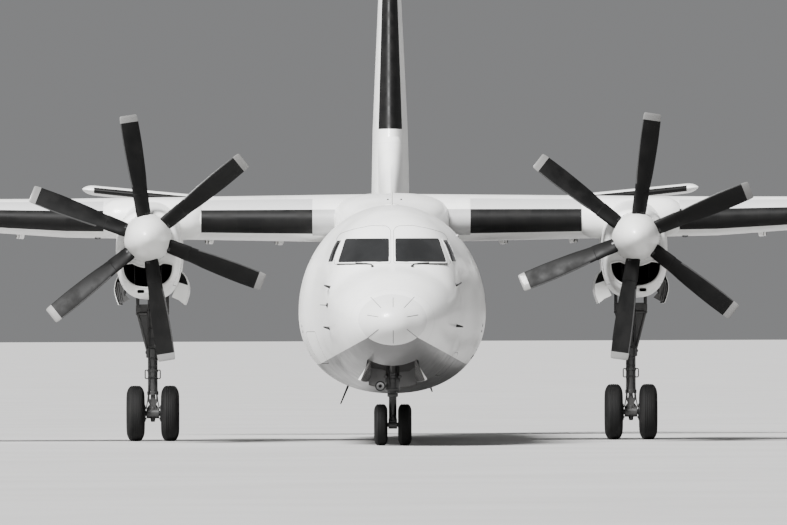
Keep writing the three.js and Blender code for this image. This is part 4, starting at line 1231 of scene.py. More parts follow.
def build_nacelles():
    stations = np.concatenate([
        [7645, 7650, 7657, 7665, 7680, 7700, 7730, 7780, 7850, 7950, 8100, 8300],
        np.arange(8500, 13000, 140), np.arange(13000, 15000, 130), [15020, 15050],
    ])
    rings = []
    for station, row in zip(stations, through(NACELLE, stations)):
        outline = oval(*row, 72)
        rings.append([[NACELLE_X + x, station, z] for x, z in outline])
    shell = loft(rings, tips=([NACELLE_X, 7643, 3000], [NACELLE_X, 15075, 3115]))
    duct = []
    for station, size in INTAKE_DUCT:
        duct.append([[NACELLE_X + x * size, station, blend(INTAKE_Z, z, size)] for x, z in smile()])
    exhaust = np.array(EXHAUST_LINE, float)
    along = unit(exhaust[1] - exhaust[0])
    trough = rod(exhaust[0], exhaust[1] + 420 * along, 180, 40, look=COWL_LIP)
    bay = box((NACELLE_X - 420, NACELLE_X + 420), BAY_S, (1000, 2980), COWL_BAY)
    below = box((2500, 4700), BAY_S, (1000, DOOR_LINE_Z), COWL_BAY)
    recess = [[338, 0], [338, 258], [72, 258], [72, 335]]
    front = lathe(recess, thrust_point(7500), [0, 1, 0], 48, COWL_DARK)
    # the intake duct, the ring round the spinner's foot, the cooling slots and the chin inlet are lined
    # near-black: painted shade inside the openings
    tools = [loft(duct, COWL_DARK), front, trough, bay, below]
    for surface in (nacelle_side, nacelle_inner):
        for *ends, radius, width in COWL_PANELS:
            tools.append(frame_on(rounded(rectangle(*ends), radius), surface, width, -30, width, COWL_SEAM))
        slots = [oblong((8300 + 62 * i, 2560), (26, 190), 12, 3) for i in range(6)]
        tools.append(join(*(slab(slot, surface, -30, 16, COWL_DARK, COWL_DARK, (0.5, 1)) for slot in slots)))
    spot = oblong(CHIN_INLET, (104, 50), 25, 6)
    inlet = prism(spot + [NACELLE_X, 0], (7500, 7990), "station", COWL_DARK)
    shell = carved(shell, [*tools, inlet])
    looks = [COWL_WHITE, EXHAUST, SOOT_AND_SHADE, BAY, SEAL]
    pair("nacelle_shell", join(shell, glove()), "airframe", looks, ["nacelle_{}"])

    spot = oblong(CHIN_INLET, (116, 62), 31, 6)
    lip = nacelle_front(smile(6), 4)
    rim = tube([*lip, lip[0]], 17, 10, ends=False)
    inlet_rim = tube(nacelle_front([*spot, spot[0]], 3), 7, 8, ends=False)
    vanes = []
    for x, top in ((-200, 2640), (0, 2600), (200, 2640)):
        vanes.append(tube([[NACELLE_X + x, 7860, 2290], [NACELLE_X + x, 7900, top]], 9, 8, 1))
    pair("intake_lip", join(rim, inlet_rim, *vanes), "airframe", [SPINNER_PALE, STEEL])

    bore = [[165, 0], [165, 905], [158, 912], [150, 905], [148, 500], [148, 60], [40, 58]]
    pipe = lathe([[20, 0], *bore, [20, 58]], exhaust[0], along, 48, [0, 0, 0, 1, 1, 1, 1, 1])
    band = [[164, 0], [171, 4], [171, 22], [164, 26]]
    bands = [lathe(band, exhaust[0] + at * along, along, 48) for at in (620, 860)]
    pair("exhaust_pipe", join(pipe, *bands), "airframe", [EXHAUST, SOOT_AND_SHADE], ["exhaust_{}"])


GLOVE = (
    # place along the span, and the share of its full size
    (2842, 0), (2900, 0.45), (2990, 0.85), (3150, 1), (3600, 1),
    (4020, 1), (4150, 0.85), (4240, 0.45), (4298, 0),
)


def glove():
    """The wing's leading edge over the nacelle, without a boot."""
    rows = []
    for x, share in GLOVE:
        row = mixed(CENTRE, x)
        lead = row[2] + 18 - 118 * share
        chord = row[3] * blend(0.34, 0.42, share)
        rows.append(section(x, row[1] + 6, lead, chord, blend(0.44, 0.5, share), WING_CAMBER))
    return spanwise(rows, lambda *_: COWL)


# Propellers

BLADE = [
    # radius, chord, thickness, angle to the disc, share of airfoil shape
    [322, 246, 104, 44, 0.8],
    [336, 268, 104, 44, 1],
    [404, 280, 96, 43, 1],
    [520, 280, 78, 41, 1],
    [655, 284, 66, 38.5, 1],
    [662, 272, 56, 38.5, 1],
    [900, 300, 44, 35, 1],
    [1150, 313, 35, 32, 1],
    [1400, 316, 28, 29, 1],
    [1650, 302, 20, 27, 1],
    [1790, 288, 16, 25.5, 1],
    [1822, 272, 12, 25, 1],
    [PROPELLER_RADIUS, 240, 6, 25, 1],
]
SPINNER = [[0, 0], [8, 46], [50, 112], [130, 182], [230, 236], [370, 289], [520, 325], [660, 348], [820, 362]]
CLOCK = {"left": 8, "right": -8.8}  # degrees that a blade stands off the vertical
BLADE_TIP_FROM = 1725
BLADE_BETWEEN = (460, 590, 770, 1025, 1275, 1525, BLADE_TIP_FROM)  # radii between the rows
NECK = [[62, 200], [74, 300], [84, 306], [84, 322], [70, 330], [66, 372]]  # radius, place along the blade
HUB = [[30, -170], [190, -170], [215, -150], [215, 130], [190, 150], [60, 150], [60, 365]]
SPINNER_S = 6800  # the spinner's tip
BACKPLATE = [[349, 7604], [364, 7606], [366, 7616], [364, 7624], [349, 7626], [349, 7604]]
SCREW_S = 7560


def blade_form():
    turns = 2 * math.pi * np.arange(28) / 28
    radii = np.array(sorted([*(row[0] for row in BLADE), *BLADE_BETWEEN]), float)
    rings, looks = [], []
    for radius, (chord, thick, angle, share) in zip(radii, through(BLADE, radii)):
        pitch = math.radians(angle)
        a = chord / 2 * np.cos(turns)
        b = thick / 2 * np.sin(turns) * (1 - 0.42 * share * np.cos(turns))
        b -= share * 0.025 * chord * np.sin(turns) ** 2
        rings.append(np.stack([
            a * math.cos(pitch) - b * math.sin(pitch),
            a * math.sin(pitch) + b * math.cos(pitch),
            np.full_like(a, radius),
        ], 1))
    for low in radii[:-1]:
        tip = low >= BLADE_TIP_FROM
        looks.append([2 if low > 700 and abs(k + 0.5 - 14) < 2 and not tip else int(tip) for k in range(28)])
    return loft(rings, looks)


def turned_about(form, angle, centre):
    """A form that stands at the axis, turned about the length of the aircraft and moved to a centre."""
    turn = np.array(Matrix.Rotation(angle, 3, "Y"))
    return form.placed(np.column_stack([turn, centre]))


def build_propellers():
    blade = blade_form()
    neck = lathe(NECK, [0, 0, 0], [0, 0, 1], 28, 3)
    # a socket's walls, cut into the spinner, are near-black: painted shade in the blades' openings
    socket = rod([0, 0, 120], [0, 0, 420], 84, 32, look=1)
    for side, sign in SIDES:
        centre = np.array([sign * NACELLE_X, BLADE_S, THRUST_Z])
        angles = [math.radians(CLOCK[side] + 60 * i) for i in range(6)]
        blades = [turned_about(join(blade, neck), angle, centre) for angle in angles]
        hub = lathe(HUB, centre, [0, 1, 0], 48, 3)
        piece(f"propeller_blades_{side}", join(*blades, hub), f"propeller_{side}",
              [BLADE_BLACK, BLADE_TIP, ERODED, STEEL], [f"propeller_{side}"])
        places = np.linspace(0, math.sqrt(SPINNER[-1][0]), 40) ** 2
        radii = through(SPINNER, places, np.sqrt)[:, 0]
        profile = [[max(radius, 0.5), place + SPINNER_S] for place, radius in zip(places, radii)]
        profile += [[350, 7622], [346, 7600], [20, 7600]]
        nose = [sign * NACELLE_X, 0, THRUST_Z]
        sockets = [turned_about(socket, angle, centre) for angle in angles]
        shell = lathe(profile, nose, [0, 1, 0], 96)
        shell = carved(shell, [join(sockets[k], sockets[k + 3]) for k in range(3)])
        plate = lathe(BACKPLATE, nose, [0, 1, 0], 96)
        screws = []
        for angle in np.arange(36) * math.radians(10):
            outwards = np.array([math.sin(angle), 0, math.cos(angle)])
            foot = np.array([sign * NACELLE_X, SCREW_S, THRUST_Z])
            screws.append(rod(foot + 341 * outwards, foot + 361.5 * outwards, 6, 8, look=2))
        piece(f"spinner_shell_{side}", join(shell, plate, *screws), f"propeller_{side}",
              [SPINNER_PALE, SOOT_AND_SHADE, STEEL], [f"spinner_{side}"])


# Wheels


TYRE_SIDE = [
    # share of the height above the bead, and of the half width
    [0.0, 0.78], [0.06, 0.87], [0.18, 0.965], [0.32, 1.0], [0.48, 0.975], [0.63, 0.91], [0.76, 0.82],
    [0.86, 0.72], [0.93, 0.61], [0.97, 0.5],
]
LIGHTENING_HOLES = 9


def tyre(bead, radius, half, grooves, at):
    """A tyre about a line along x, with grooves round its tread."""
    rise = radius - bead
    wall = [[bead + up * rise, half * out] for up, out in TYRE_SIDE]
    tread = []
    for place in sorted([*grooves, *(-g for g in grooves)], reverse=True):
        crown = radius - 0.06 * rise * (place / half) ** 2
        tread += [[crown, place + 5], [crown - 7, place + 3.5], [crown - 7, place - 3.5], [crown, place - 5]]
    profile = [*wall, *tread, *([r, -p] for r, p in wall[::-1])]
    return lathe([*profile, profile[0]], at, [1, 0, 0], 96)


def rim(bead, half, bore, at, outward_sign):
    """A cast wheel half with lightening holes, tie bolts, and a hub cap on its outer side."""
    dish = [[bore, 0.6], [bore + 0.24 * bead, 0.62], [bore + 0.3 * bead, 0.48], [0.72 * bead, 0.3],
            [0.86 * bead, 0.38], [0.93 * bead, 0.72], [0.985 * bead, 0.8], [0.995 * bead, 0.96], [bead, 1.0]]
    profile = [[r, half * p] for r, p in dish]
    profile += [[r, -half * p] for r, p in dish[::-1]]
    form = lathe([*profile, profile[0]], at, [1, 0, 0], 72)
    holes, bolts = [], []
    for k in range(LIGHTENING_HOLES):
        angle = 2 * math.pi * k / LIGHTENING_HOLES
        spot = [0.6 * bead * math.cos(angle), 0.6 * bead * math.sin(angle)]
        for way in (-1, 1):
            ends = [np.array([way * half * out, *spot]) + at for out in (0.2, 2)]
            # the walls of the lightening holes are near-black
            holes.append(rod(*ends, 0.082 * bead, 18, look=1))
        angle += math.pi / LIGHTENING_HOLES
        spot = [0.7 * bead * math.cos(angle), 0.7 * bead * math.sin(angle)]
        for way in (-1, 1):
            head = [np.array([way * half * p, *spot]) + at for p in (0.25, 0.4)]
            bolts.append(rod(*head, 0.036 * bead, 6, look=2))
    form = carved(form, [join(*holes)])
    cap = [[bore * r, half * p] for r, p in ((0.3, 0.55), (1.3, 0.6), (1.3, 0.74), (1.1, 0.84), (0.3, 0.86))]
    return join(form, lathe(cap, at, [outward_sign, 0, 0], 36), *bolts)


def build_wheels():
    rims = [RIM, SOOT_AND_SHADE, STEEL]
    tyres, hubs = [], []
    for x, way in ((260, 1), (-260, -1)):
        at = [NACELLE_X + x, MAIN_GEAR_S, 420]
        tyres.append(tyre(205.3, 420, 136.5, (18, 46), at))
        hubs.append(rim(204.8, 108, 40.8, at, way))
    pair("main_tyres", join(*tyres), "main_wheels_{}", [TYRE], ["main_tyre_outer_{}", "main_tyre_inner_{}"])
    pair("main_wheel_rims", join(*hubs), "main_wheels_{}", rims, ["main_rim_outer_{}", "main_rim_inner_{}"])
    for side, sign in SIDES:
        at = [sign * 172.5, NOSE_GEAR_S, 300]
        form = tyre(152.3, 300, 98, (12, 32), at)
        piece(f"nose_tyre_{side}_tread", form, "nose_wheels", [TYRE], [f"nose_tyre_{side}"])
        form = rim(151.8, 80, 32.8, at, sign)
        piece(f"nose_wheel_rim_{side}", form, "nose_wheels", rims, [f"nose_rim_{side}"])


# Landing gear legs

LEG, LEG_CHROME, LEG_STEEL, LEG_HOSE = range(4)
MAIN_CASE = [
    # radius and height of the main leg's casing
    [20, 700], [86, 700], [86, 748], [76, 756], [74, 800], [74, 1040], [82, 1046], [82, 1076], [74, 1082],
    [74, 1252], [100, 1262], [100, 1388], [80, 1396], [74, 1410], [74, 1880], [84, 1890], [84, 1960],
    [74, 1970], [74, 2460], [92, 2490], [92, 2600], [70, 2640], [20, 2680],
]
MAIN_WEB = [
    # x, z
    [-205, 2062], [205, 2062], [205, 1940], [146, 1715], [84, 1392], [-84, 1392], [-146, 1715], [-205, 1940],
]
MAIN_FORK = [
    [-74, 752], [74, 752], [76, 612], [52, 560], [44, 530], [58, 480], [-58, 480], [-44, 530], [-52, 560],
    [-76, 612],
]
MAIN_PIPES = ((-60, -58), (-36, -74), (44, -70))  # x, and station off the leg's middle
BRAKE = [[50, 0], [118, 0], [124, 6], [124, 40], [116, 46], [116, 74], [98, 80], [50, 80]]
NOSE_CASE = [
    [58, 772], [84, 772], [104, 792], [108, 800], [108, 812], [98, 820], [98, 900], [106, 906], [106, 960],
    [98, 968], [98, 1180], [105, 1200], [105, 1300], [80, 1340], [58, 1340], [58, 772],
]
TAXI_LAMP = [-179, -96, 855]
LAMP_BOWL = [[5, 74], [34, 68], [64, 36], [71, 0], [74, -8], [62, -12], [55, -6], [55, 36], [5, 40]]
LAMP_MIRROR = [[1, -2], [20, -4], [24, 20], [40, 14], [54, -2], [56, 30], [1, 34]]


def strap(path, widths, thick):
    """A flat arm along a path of [station, z], its width across the aircraft changing on the way."""
    path = np.asarray(path, float)
    steps = np.diff(path, axis=0)
    ways = np.vstack([steps[:1], steps[:-1] + steps[1:], steps[-1:]])
    rings = []
    for (station, z), way, width, depth in zip(path, ways, widths, np.broadcast_to(thick, len(path))):
        across = unit(np.array([-way[1], way[0]])) * depth / 2
        rings.append([[a * width / 2, station + b * across[0], z + b * across[1]]
                      for a, b in ((-1, -1), (1, -1), (1, 1), (-1, 1))])
    return loft(rings, LEG)


def torque_links(lower, apex, upper, widths, thick, pin):
    """Two flat arms that meet at a pin; each is a fork with an opening in its middle."""
    parts = []
    for root in (lower, upper):
        middle = [blend(root[0], apex[0], 0.5), blend(root[1], apex[1], 0.5)]
        for way in (-1, 1):
            path = [[root[0], root[1]], middle, [apex[0], apex[1]]]
            spots = [way * widths[0] * 0.38, way * widths[1] * 0.4, way * widths[1] * 0.22]
            arm = strap(path, [widths[0] * 0.24, widths[0] * 0.2, widths[1] * 0.3], thick)
            arm.points[:, 0] += np.repeat(spots, 4).tolist() + [spots[0], spots[2]]
            parts.append(arm)
        middles = [[blend(root[0], apex[0], a), blend(root[1], apex[1], a)] for a in (0.3, 0.72)]
        parts.append(strap(middles, [widths[0] * 0.7, widths[1] * 0.8], thick * 0.35))
        parts.append(rod([-widths[0] / 2, *root], [widths[0] / 2, *root], pin, 20, look=LEG_STEEL, bevel=2))
    half = widths[1] / 2 + 12
    parts.append(rod([-half, *apex], [half, *apex], pin, 20, look=LEG_STEEL, bevel=2))
    return join(*parts)


def ringed(profile, look=LEG):
    """A round part of a leg, about its upright middle line."""
    return lathe(profile, [0, 0, 0], [0, 0, 1], 40, look)


def lug(at, radius, width, axis="station"):
    """An eye end: a short round across the bar that it ends, with a pin through it."""
    at = np.asarray(at, float)
    way = np.array([0, 1, 0]) if axis == "station" else np.array([1, 0, 0])
    body = rod(at - way * width / 2, at + way * width / 2, radius, 24, look=LEG, bevel=3)
    reach = way * (width / 2 + 8)
    return join(body, rod(at - reach, at + reach, radius * 0.45, 16, look=LEG_STEEL, bevel=2))


def build_main_gear():
    looks = [GEAR_GREY, CHROME, STEEL, SEAL]
    origin = (NACELLE_X, MAIN_GEAR_S, 0)
    leg = [ringed(MAIN_CASE), rod([-418, 0, 2690], [418, 0, 2690], 60, 32, bevel=6)]
    for way in (-1, 1):
        leg.append(rod([way * 300, 0, 2690], [way * 330, 0, 2690], 76, 32, bevel=4))
        leg.append(rod([way * 222, 0, 2660], [way * 222, 0, 1925], 25, 20))
        leg.append(rod([way * 222, 0, 1925], [way * 66, 0, 1322], 23, 20))
        leg.append(box((way * 190, way * 250), (-34, 34), (1950, 2042)))
        leg.append(lug([way * 222, 0, 1925], 30, 52))
        leg.append(lug([way * 78, 0, 1340], 34, 62))
        leg.append(rod([way * 222, 0, 2300], [way * 222, 0, 2390], 33, 20, bevel=3))
        leg.append(rod([way * 92, 0, 2540], [way * 210, 0, 2640], 20, 14))
        for station in (-24, 24):
            loop = [[way * 66, station, 1072], [way * 108, station, 1070], [way * 114, station, 1060],
                    [way * 114, station, 956], [way * 108, station, 946], [way * 66, station, 944]]
            leg.append(tube(loop, 9, 10))
    leg.append(rod([-236, 0, 1925], [236, 0, 1925], 27, 20, bevel=3))
    leg.append(prism(rounded(MAIN_WEB, 20), (-8, 8), "station"))
    for x, station in MAIN_PIPES:
        wide, far = x * 1.25, station * 1.35
        path = [[x, station, 2560], [x, station, 1480], [wide, far, 1420], [wide, far, 1230],
                [x, station, 1180], [x, station, 860]]
        leg.append(tube(path, 6.5, 8, LEG_STEEL))
    for z in (2360, 2050, 1700, 1120, 960):
        leg.append(box((-72, 62), (-86, -60), (z - 9, z + 9), LEG_STEEL))
    plate = prism(rounded(rectangle(-30, 30, 1440, 1560), 6), (-82, -76), "station", LEG_STEEL)
    pair("main_gear_leg", join(*leg, plate).moved(*origin), "airframe", looks, ["main_leg_{}"], bevel=0.8)

    brace = [rod([0, 30, 1380], [0, 800, 2668], 37, 28), rod([0, 340, 1898], [0, 440, 2065], 47, 28, bevel=5),
             rod([-400, 820, 2700], [400, 820, 2700], 40, 28, bevel=5), lug([0, 26, 1345], 46, 76, "x")]
    brace.append(rod([-34, 390, 1980], [34, 390, 1980], 22, 20, look=LEG_STEEL, bevel=3))
    for way in (-1, 1):
        brace.append(rod([way * 300, 820, 2700], [way * 326, 820, 2700], 54, 28, bevel=4))
        path = [[way * 48, 100, 1500], [way * 50, 400, 2000], [way * 50, 760, 2600]]
        brace.append(tube(path, 6, 8, LEG_STEEL))
    pair("main_gear_brace", join(*brace).moved(*origin), "airframe", looks, ["main_drag_brace_{}"], bevel=0.8)

    slots = join(*(prism(oblong((x, 672), (27, 78), 9), (-200, 200), "station") for x in (-36, 36)))
    strut = [carved(prism(rounded(MAIN_FORK, 12), (-40, 40), "station"), [slots]),
             ringed([[20, 706], [54, 706], [54, 760], [20, 760]], LEG_CHROME),
             ringed([[20, 372], [52, 372], [58, 470], [46, 520], [20, 520]]),
             ringed([[10, 292], [26, 292], [30, 300], [44, 372], [44, 410], [10, 410]], LEG_STEEL),
             rod([-96, 0, 420], [96, 0, 420], 76, 40, bevel=8),
             rod([-398, 0, 420], [398, 0, 420], 39, 28, look=LEG_STEEL, bevel=4)]
    strut.append(torque_links((44, 512), (262, 800), (46, 1060), (112, 60), 30, 14))
    for way in (-1, 1):
        strut.append(lathe(BRAKE, [way * 108, 0, 420], [way, 0, 0], 40, LEG_STEEL))
        for k in range(6):
            angle = math.pi / 3 * k
            spot = [92 * math.cos(angle), 420 + 92 * math.sin(angle)]
            strut.append(rod([way * 96, *spot], [way * 112, *spot], 13, 14, look=LEG_STEEL, bevel=2))
        path = [[way * 46, -66, 860], [way * 60, -90, 760], [way * 78, -92, 600], [way * 98, -86, 500]]
        strut.append(tube(path, 8, 8, LEG_HOSE))
        gusset = rounded([[46, 440], [92, 470], [92, 498], [54, 552]], 8) * [way, 1]
        strut.append(prism(gusset, (-14, 14), "station"))
    pair("main_gear_strut", join(*strut).moved(*origin), "airframe", looks, ["main_strut_{}"], bevel=0.8)


def build_nose_gear():
    looks = [GEAR_GREY, SHADED_PISTON, STEEL, SEAL]
    origin = (0, NOSE_GEAR_S, 0)
    leg = [ringed(NOSE_CASE),
           rod([-NOSE_BAY_X - 2, 0, 1330], [NOSE_BAY_X + 2, 0, 1330], 56, 32, bevel=5),
           rod([-NOSE_BAY_X - 2, -850, 1420], [NOSE_BAY_X + 2, -850, 1420], 38, 24, bevel=4),
           rod([0, -60, 1028], [0, -820, 1405], 36, 24),
           rod([0, -400, 1200], [0, -452, 1226], 45, 24, bevel=4), lug([0, -92, 1042], 42, 70, "x")]
    for way in (-1, 1):
        leg.append(rod([way * 104, 26, 990], [way * 104, -120, 990], 26, 20, bevel=3))
        leg.append(rod([way * 104, 60, 990], [way * 104, 26, 990], 12, 14, look=LEG_CHROME))
        leg.append(rod([way * 300, 0, 1330], [way * 322, 0, 1330], 70, 28, bevel=4))
        path = [[way * 60, -86, 1290], [way * 60, -100, 1060], [way * 40, -108, 900], [way * 40, -108, 830]]
        leg.append(tube(path, 6, 8, LEG_STEEL))
        leg.append(rod([way * 92, -10, 1290], [way * 110, -22, 1150], 14, 12, look=LEG_STEEL))
    bowl = lathe(LAMP_BOWL, TAXI_LAMP, [0, 1, 0], 40)
    bracket = box((-120, -92), (-60, -30), (838, 872))
    leg.append(rod([-150, -50, 855], [-96, -40, 855], 14, 14))
    pieces = join(*leg, bowl, bracket).moved(*origin)
    piece("nose_gear_leg", pieces, "airframe", looks, ["nose_leg"], bevel=0.8)
    mirror = lathe(LAMP_MIRROR, TAXI_LAMP, [0, 1, 0], 40, [1, 1, 0, 0, 0, 0])
    piece("taxi_lamp_mirror", mirror.moved(*origin), "airframe", [SILVER, SEAL])

    strut = [ringed([[20, 350], [56, 350], [56, 900], [20, 900]], LEG_CHROME),
             ringed([[40, 700], [72, 700], [78, 712], [78, 744], [72, 756], [40, 756]]),
             ringed([[20, 332], [62, 332], [62, 372], [56, 400], [56, 446], [20, 446]]),
             rod([-62, 0, 300], [62, 0, 300], 58, 32, bevel=6),
             rod([-264, 0, 300], [264, 0, 300], 31, 24, look=LEG_STEEL, bevel=3),
             torque_links((22, 385), (168, 560), (24, 715), (88, 48), 26, 11)]
    for way in (-1, 1):
        strut.append(rod([way * 42, -44, 352], [way * 42, -84, 352], 12, 14, look=LEG_STEEL, bevel=2))
    strut.append(rod([-52, -68, 352], [52, -68, 352], 14, 16, look=LEG_STEEL, bevel=2))
    piece("nose_gear_strut", join(*strut).moved(*origin), "nose_strut", looks, ["nose_strut"], bevel=0.8)


# Gear doors

DOOR_EDGE, DOOR_PAN, DOOR_RIB = range(3)
BAY_DOOR = [
    # x off the nacelle's middle, and height, of a door's outside from its hinge down
    [448, 2549.5], [506, 2480], [545, 2385], [556, 2310], [553, 2240], [540, 2180], [520, 2115], [494, 2052],
]
DOOR_ENDS = (10772, 12928)
# a dark sheet across the outboard door's front and the bay beside it, with black slats: painted shade below
# the nacelle
OUTBOARD_SHADE_PLATE = [
    [452, 2396], [520, 2390], [548, 2300], [534, 2190], [490, 2070], [425, 2080], [322, 2138], [406, 2232],
]
OUTBOARD_SLATS = ((420, 2105, 2240, 30), (450, 2100, 2370, 36), (478, 2110, 2375, 40))  # x, foot, head, lean
INBOARD_PLATE = [
    [371, 2398], [552, 2341], [554, 2310], [551, 2240], [538, 2180], [518, 2115], [492, 2054], [413, 2120],
    [306, 2168], [363, 2315],
]
# a black sheet over the space between the inboard door and the nacelle, at the door's front: a painted shadow
INBOARD_SHADOW = [[372, 2402], [551, 2345], [543, 2385], [504, 2480], [447, 2547], [425, 2500]]
NOSE_DOOR = [[880, 285, 150], [1300, 165, 90], [1640, 90, 52]]  # station, depth, width


def belly_height(station, x):
    half, bottom, middle, _, _, lower = body_rows([station])[:, 0]
    return middle - (middle - bottom) * (1 - (x / half) ** lower) ** (1 / lower)


def build_gear_doors():
    curve = np.array(BAY_DOOR, float)
    way = np.gradient(curve, axis=0)
    inward = np.stack([way[:, 1], -way[:, 0]], 1) / np.linalg.norm(way, axis=1)[:, None]
    inward *= np.sign(-inward[3, 0])
    count = len(curve)
    near, far = curve + 9 * inward, curve + 31 * inward
    shell = prism(np.vstack([curve, (curve + 11 * inward)[::-1]]), DOOR_ENDS, "station")
    inside = np.arange(count, 2 * count - 1)
    shell = shell.painted(DOOR_PAN, lambda middles: np.isin(np.arange(len(middles)), inside))
    # the ribs inside the door are near-black: painted shade between them
    ribs = []
    for station in np.linspace(DOOR_ENDS[0] + 1, DOOR_ENDS[1] - 27, 9):
        ribs.append(prism(np.vstack([near, far[::-1]]), (station, station + 26), "station", DOOR_RIB))
    for k in (0, 2, 4, count - 2):
        strip = np.vstack([near[k:k + 2], far[k:k + 2][::-1]])
        ribs.append(prism(strip, DOOR_ENDS, "station", DOOR_RIB if k else DOOR_EDGE))
    looks = [PLAIN_WHITE, DOOR_INSIDE_AND_SHADE, SOOT_AND_SHADE]
    # the sheet of painted shade and its slats at the outboard door's front
    plate = prism(OUTBOARD_SHADE_PLATE, (10774, 10784), "station", DOOR_PAN)
    slats = []
    for x, low, high, lean in OUTBOARD_SLATS:
        outline = [[x, low], [x + 7, low], [x + 7 + lean, high], [x + lean, high]]
        slats.append(prism(outline, (10766, 10775), "station", DOOR_RIB))
    door = join(shell, *ribs, plate, *slats).moved(x=NACELLE_X)
    pair("main_door_outboard_panel", door, "airframe", looks, ["main_door_outboard_{}"], bevel=1.0)
    plate = prism(INBOARD_PLATE, (10770.5, 10784), "station", DOOR_EDGE)
    # the painted shadow between the inboard door and the nacelle
    painted_shadow = prism(INBOARD_SHADOW, (10770.5, 10784), "station", DOOR_RIB)
    inner = join(shell, *ribs, plate, painted_shadow).mirrored().moved(x=NACELLE_X)
    pair("main_door_inboard_panel", inner, "airframe", looks, ["main_door_inboard_{}"], bevel=1.0)

    rings, pans = [], []
    stations = np.linspace(880, 1640, 14)
    for station, (depth, width) in zip(stations, through(NOSE_DOOR, stations)):
        z = belly_height(station, NOSE_BAY_X)
        bulge = width * 0.45
        outside = [[344.5, 88], [344.5, -16], [344.7 + bulge, -depth * 0.52], [344.7 + width, 14 - depth]]
        inside = [[340 + width - 30, 2 - depth], [318 + bulge, -depth * 0.5 - 8], [318, -20], [318, 88]]
        rings.append([[x, station, z + dz] for x, dz in outside + inside])
    door = loft(rings, np.array([0, 0, 0, 0, 1, 1, 1, 0])[None])
    stations = np.linspace(888, 1620, 7)
    for station, (depth, width) in zip(stations, through(NOSE_DOOR, stations)):
        z = belly_height(station, NOSE_BAY_X)
        rib = [[324, 60], [312, 60], [312, -26], [330 + width - 36, 4 - depth], [338 + width - 30, 6 - depth]]
        pans.append(prism([[x, z + dz] for x, dz in rib], (station, station + 12), "station", DOOR_RIB))
    looks = [PLAIN_WHITE, DOOR_INSIDE_AND_SHADE, DOOR_INSIDE_AND_SHADE]
    for side, sign in SIDES:
        form = join(door, *pans)
        form = form if sign > 0 else form.mirrored()
        piece(f"nose_door_{side}_panel", form, "airframe", looks, [f"nose_door_{side}"], bevel=1.0)


# What shows through openings


def build_nose_bulkhead():
    """The wall that closes the nose gear's bay at its rear, with two stiffeners."""
    station, half = 2600, NOSE_BAY_X + 2
    outline = [[x, belly_height(station, abs(x)) + 16] for x in np.linspace(-half, half, 15)]
    outline += [[half, 1132], [300, 1112], [240, 1066], [60, 1056]]
    outline += [[-60, 1058], [-150, 1094], [-300, 1112], [-half, 1132]]
    wall = prism(outline, (station, station + 22), "station")
    ribs = [box((x - 7, x + 7), (station - 14, station + 2), (850, 1060)) for x in (-240, 240)]
    piece("nose_bay_bulkhead", join(wall, *ribs), "airframe", [BULKHEAD])


def build_engines():
    """The engine block's own node stays, and takes a dark metal."""
    for side, _ in SIDES:
        shown = bpy.data.objects.get(f"engine_{side}")
        if shown:
            shown.data.materials.clear()
            shown.data.materials.append(STEEL.material)


# Small fittings

FITTING_METAL, FITTING_DARK = 1, 2  # a painted fitting is look 0


def blade_mast(base, height, chord, thick, lean, down=False, look=0):
    """A swept mast: a thin wing section that tapers to its tip."""
    way = -1 if down else 1
    turns = 2 * math.pi * np.arange(20) / 20
    rings = []
    for t in (-0.1, 0.0, 0.35, 0.7, 0.93, 1.0):
        size = (1 - 0.38 * max(t, 0)) * (0.72 if t == 1.0 else 1)
        x = thick / 2 * np.sin(turns) * (1 - 0.4 * np.cos(turns)) * size
        station = chord / 2 * np.cos(turns) * size + lean * t
        rings.append(np.stack([x, station, np.full(20, way * height * t)], 1) + base)
    return loft(rings, look)


def probe(x, z, out, up):
    """A pitot probe: a foot on the skin, a short mast and a tube that points ahead."""
    way = math.copysign(1, x)
    foot = np.array([x - way * 16, nose_station(x, z) + 16, z])
    knee = foot + [way * (out + 6), -20, up]
    mast = tube([foot, foot + [way * 24, -4, up * 0.2], knee], [30, 22, 11], 16, FITTING_METAL)
    head = tube([knee + [0, 26, 0], knee + [0, -40, 0], knee + [0, -150, 0]], [10, 12, 8], 14, FITTING_METAL)
    return join(mast, head)


def nose_station(x, z):
    """Where a line along the aircraft meets the nose's skin."""
    low, high = 1.0, 3000.0
    for _ in range(32):
        trial = (low + high) / 2
        low, high = (trial, high) if half_width(trial, z)[0] < abs(x) else (low, trial)
    return low + 0.5


def skin_point(station, z, sign=1):
    return body_side([[station, z]], 0)[0] * [sign, 1, 1]


def top_of(station):
    crest = through(SADDLE, [station])[0][3] if SADDLE[0][0] < station < SADDLE[-1][0] else 0
    return max(body_rows([station])[3][0], crest)


def bottom_of(station):
    return body_rows([station])[1][0]


STRIPS = (((163, 1974), (310, 2128)), ((202, 1846), (362, 1873)), ((202, 1670), (360, 1544)))  # x, z
PROBES = (
    # foot's x and z, and how far it reaches out and up
    (-893, 2272, 88, 30), (913, 2298, 85, 38), (-900, 1684, 92, 22), (915, 1722, 100, -18),
)
VANE = (-929, 2018, 108)  # foot's x and z, and reach
BELLY_MASTS = (
    # x of its foot, x and z of its tip, station, chord
    (-643, -763, 572, 7600, 190), (564, 597, 742, 8800, 110), (-515, -521, 806, 9400, 90),
)


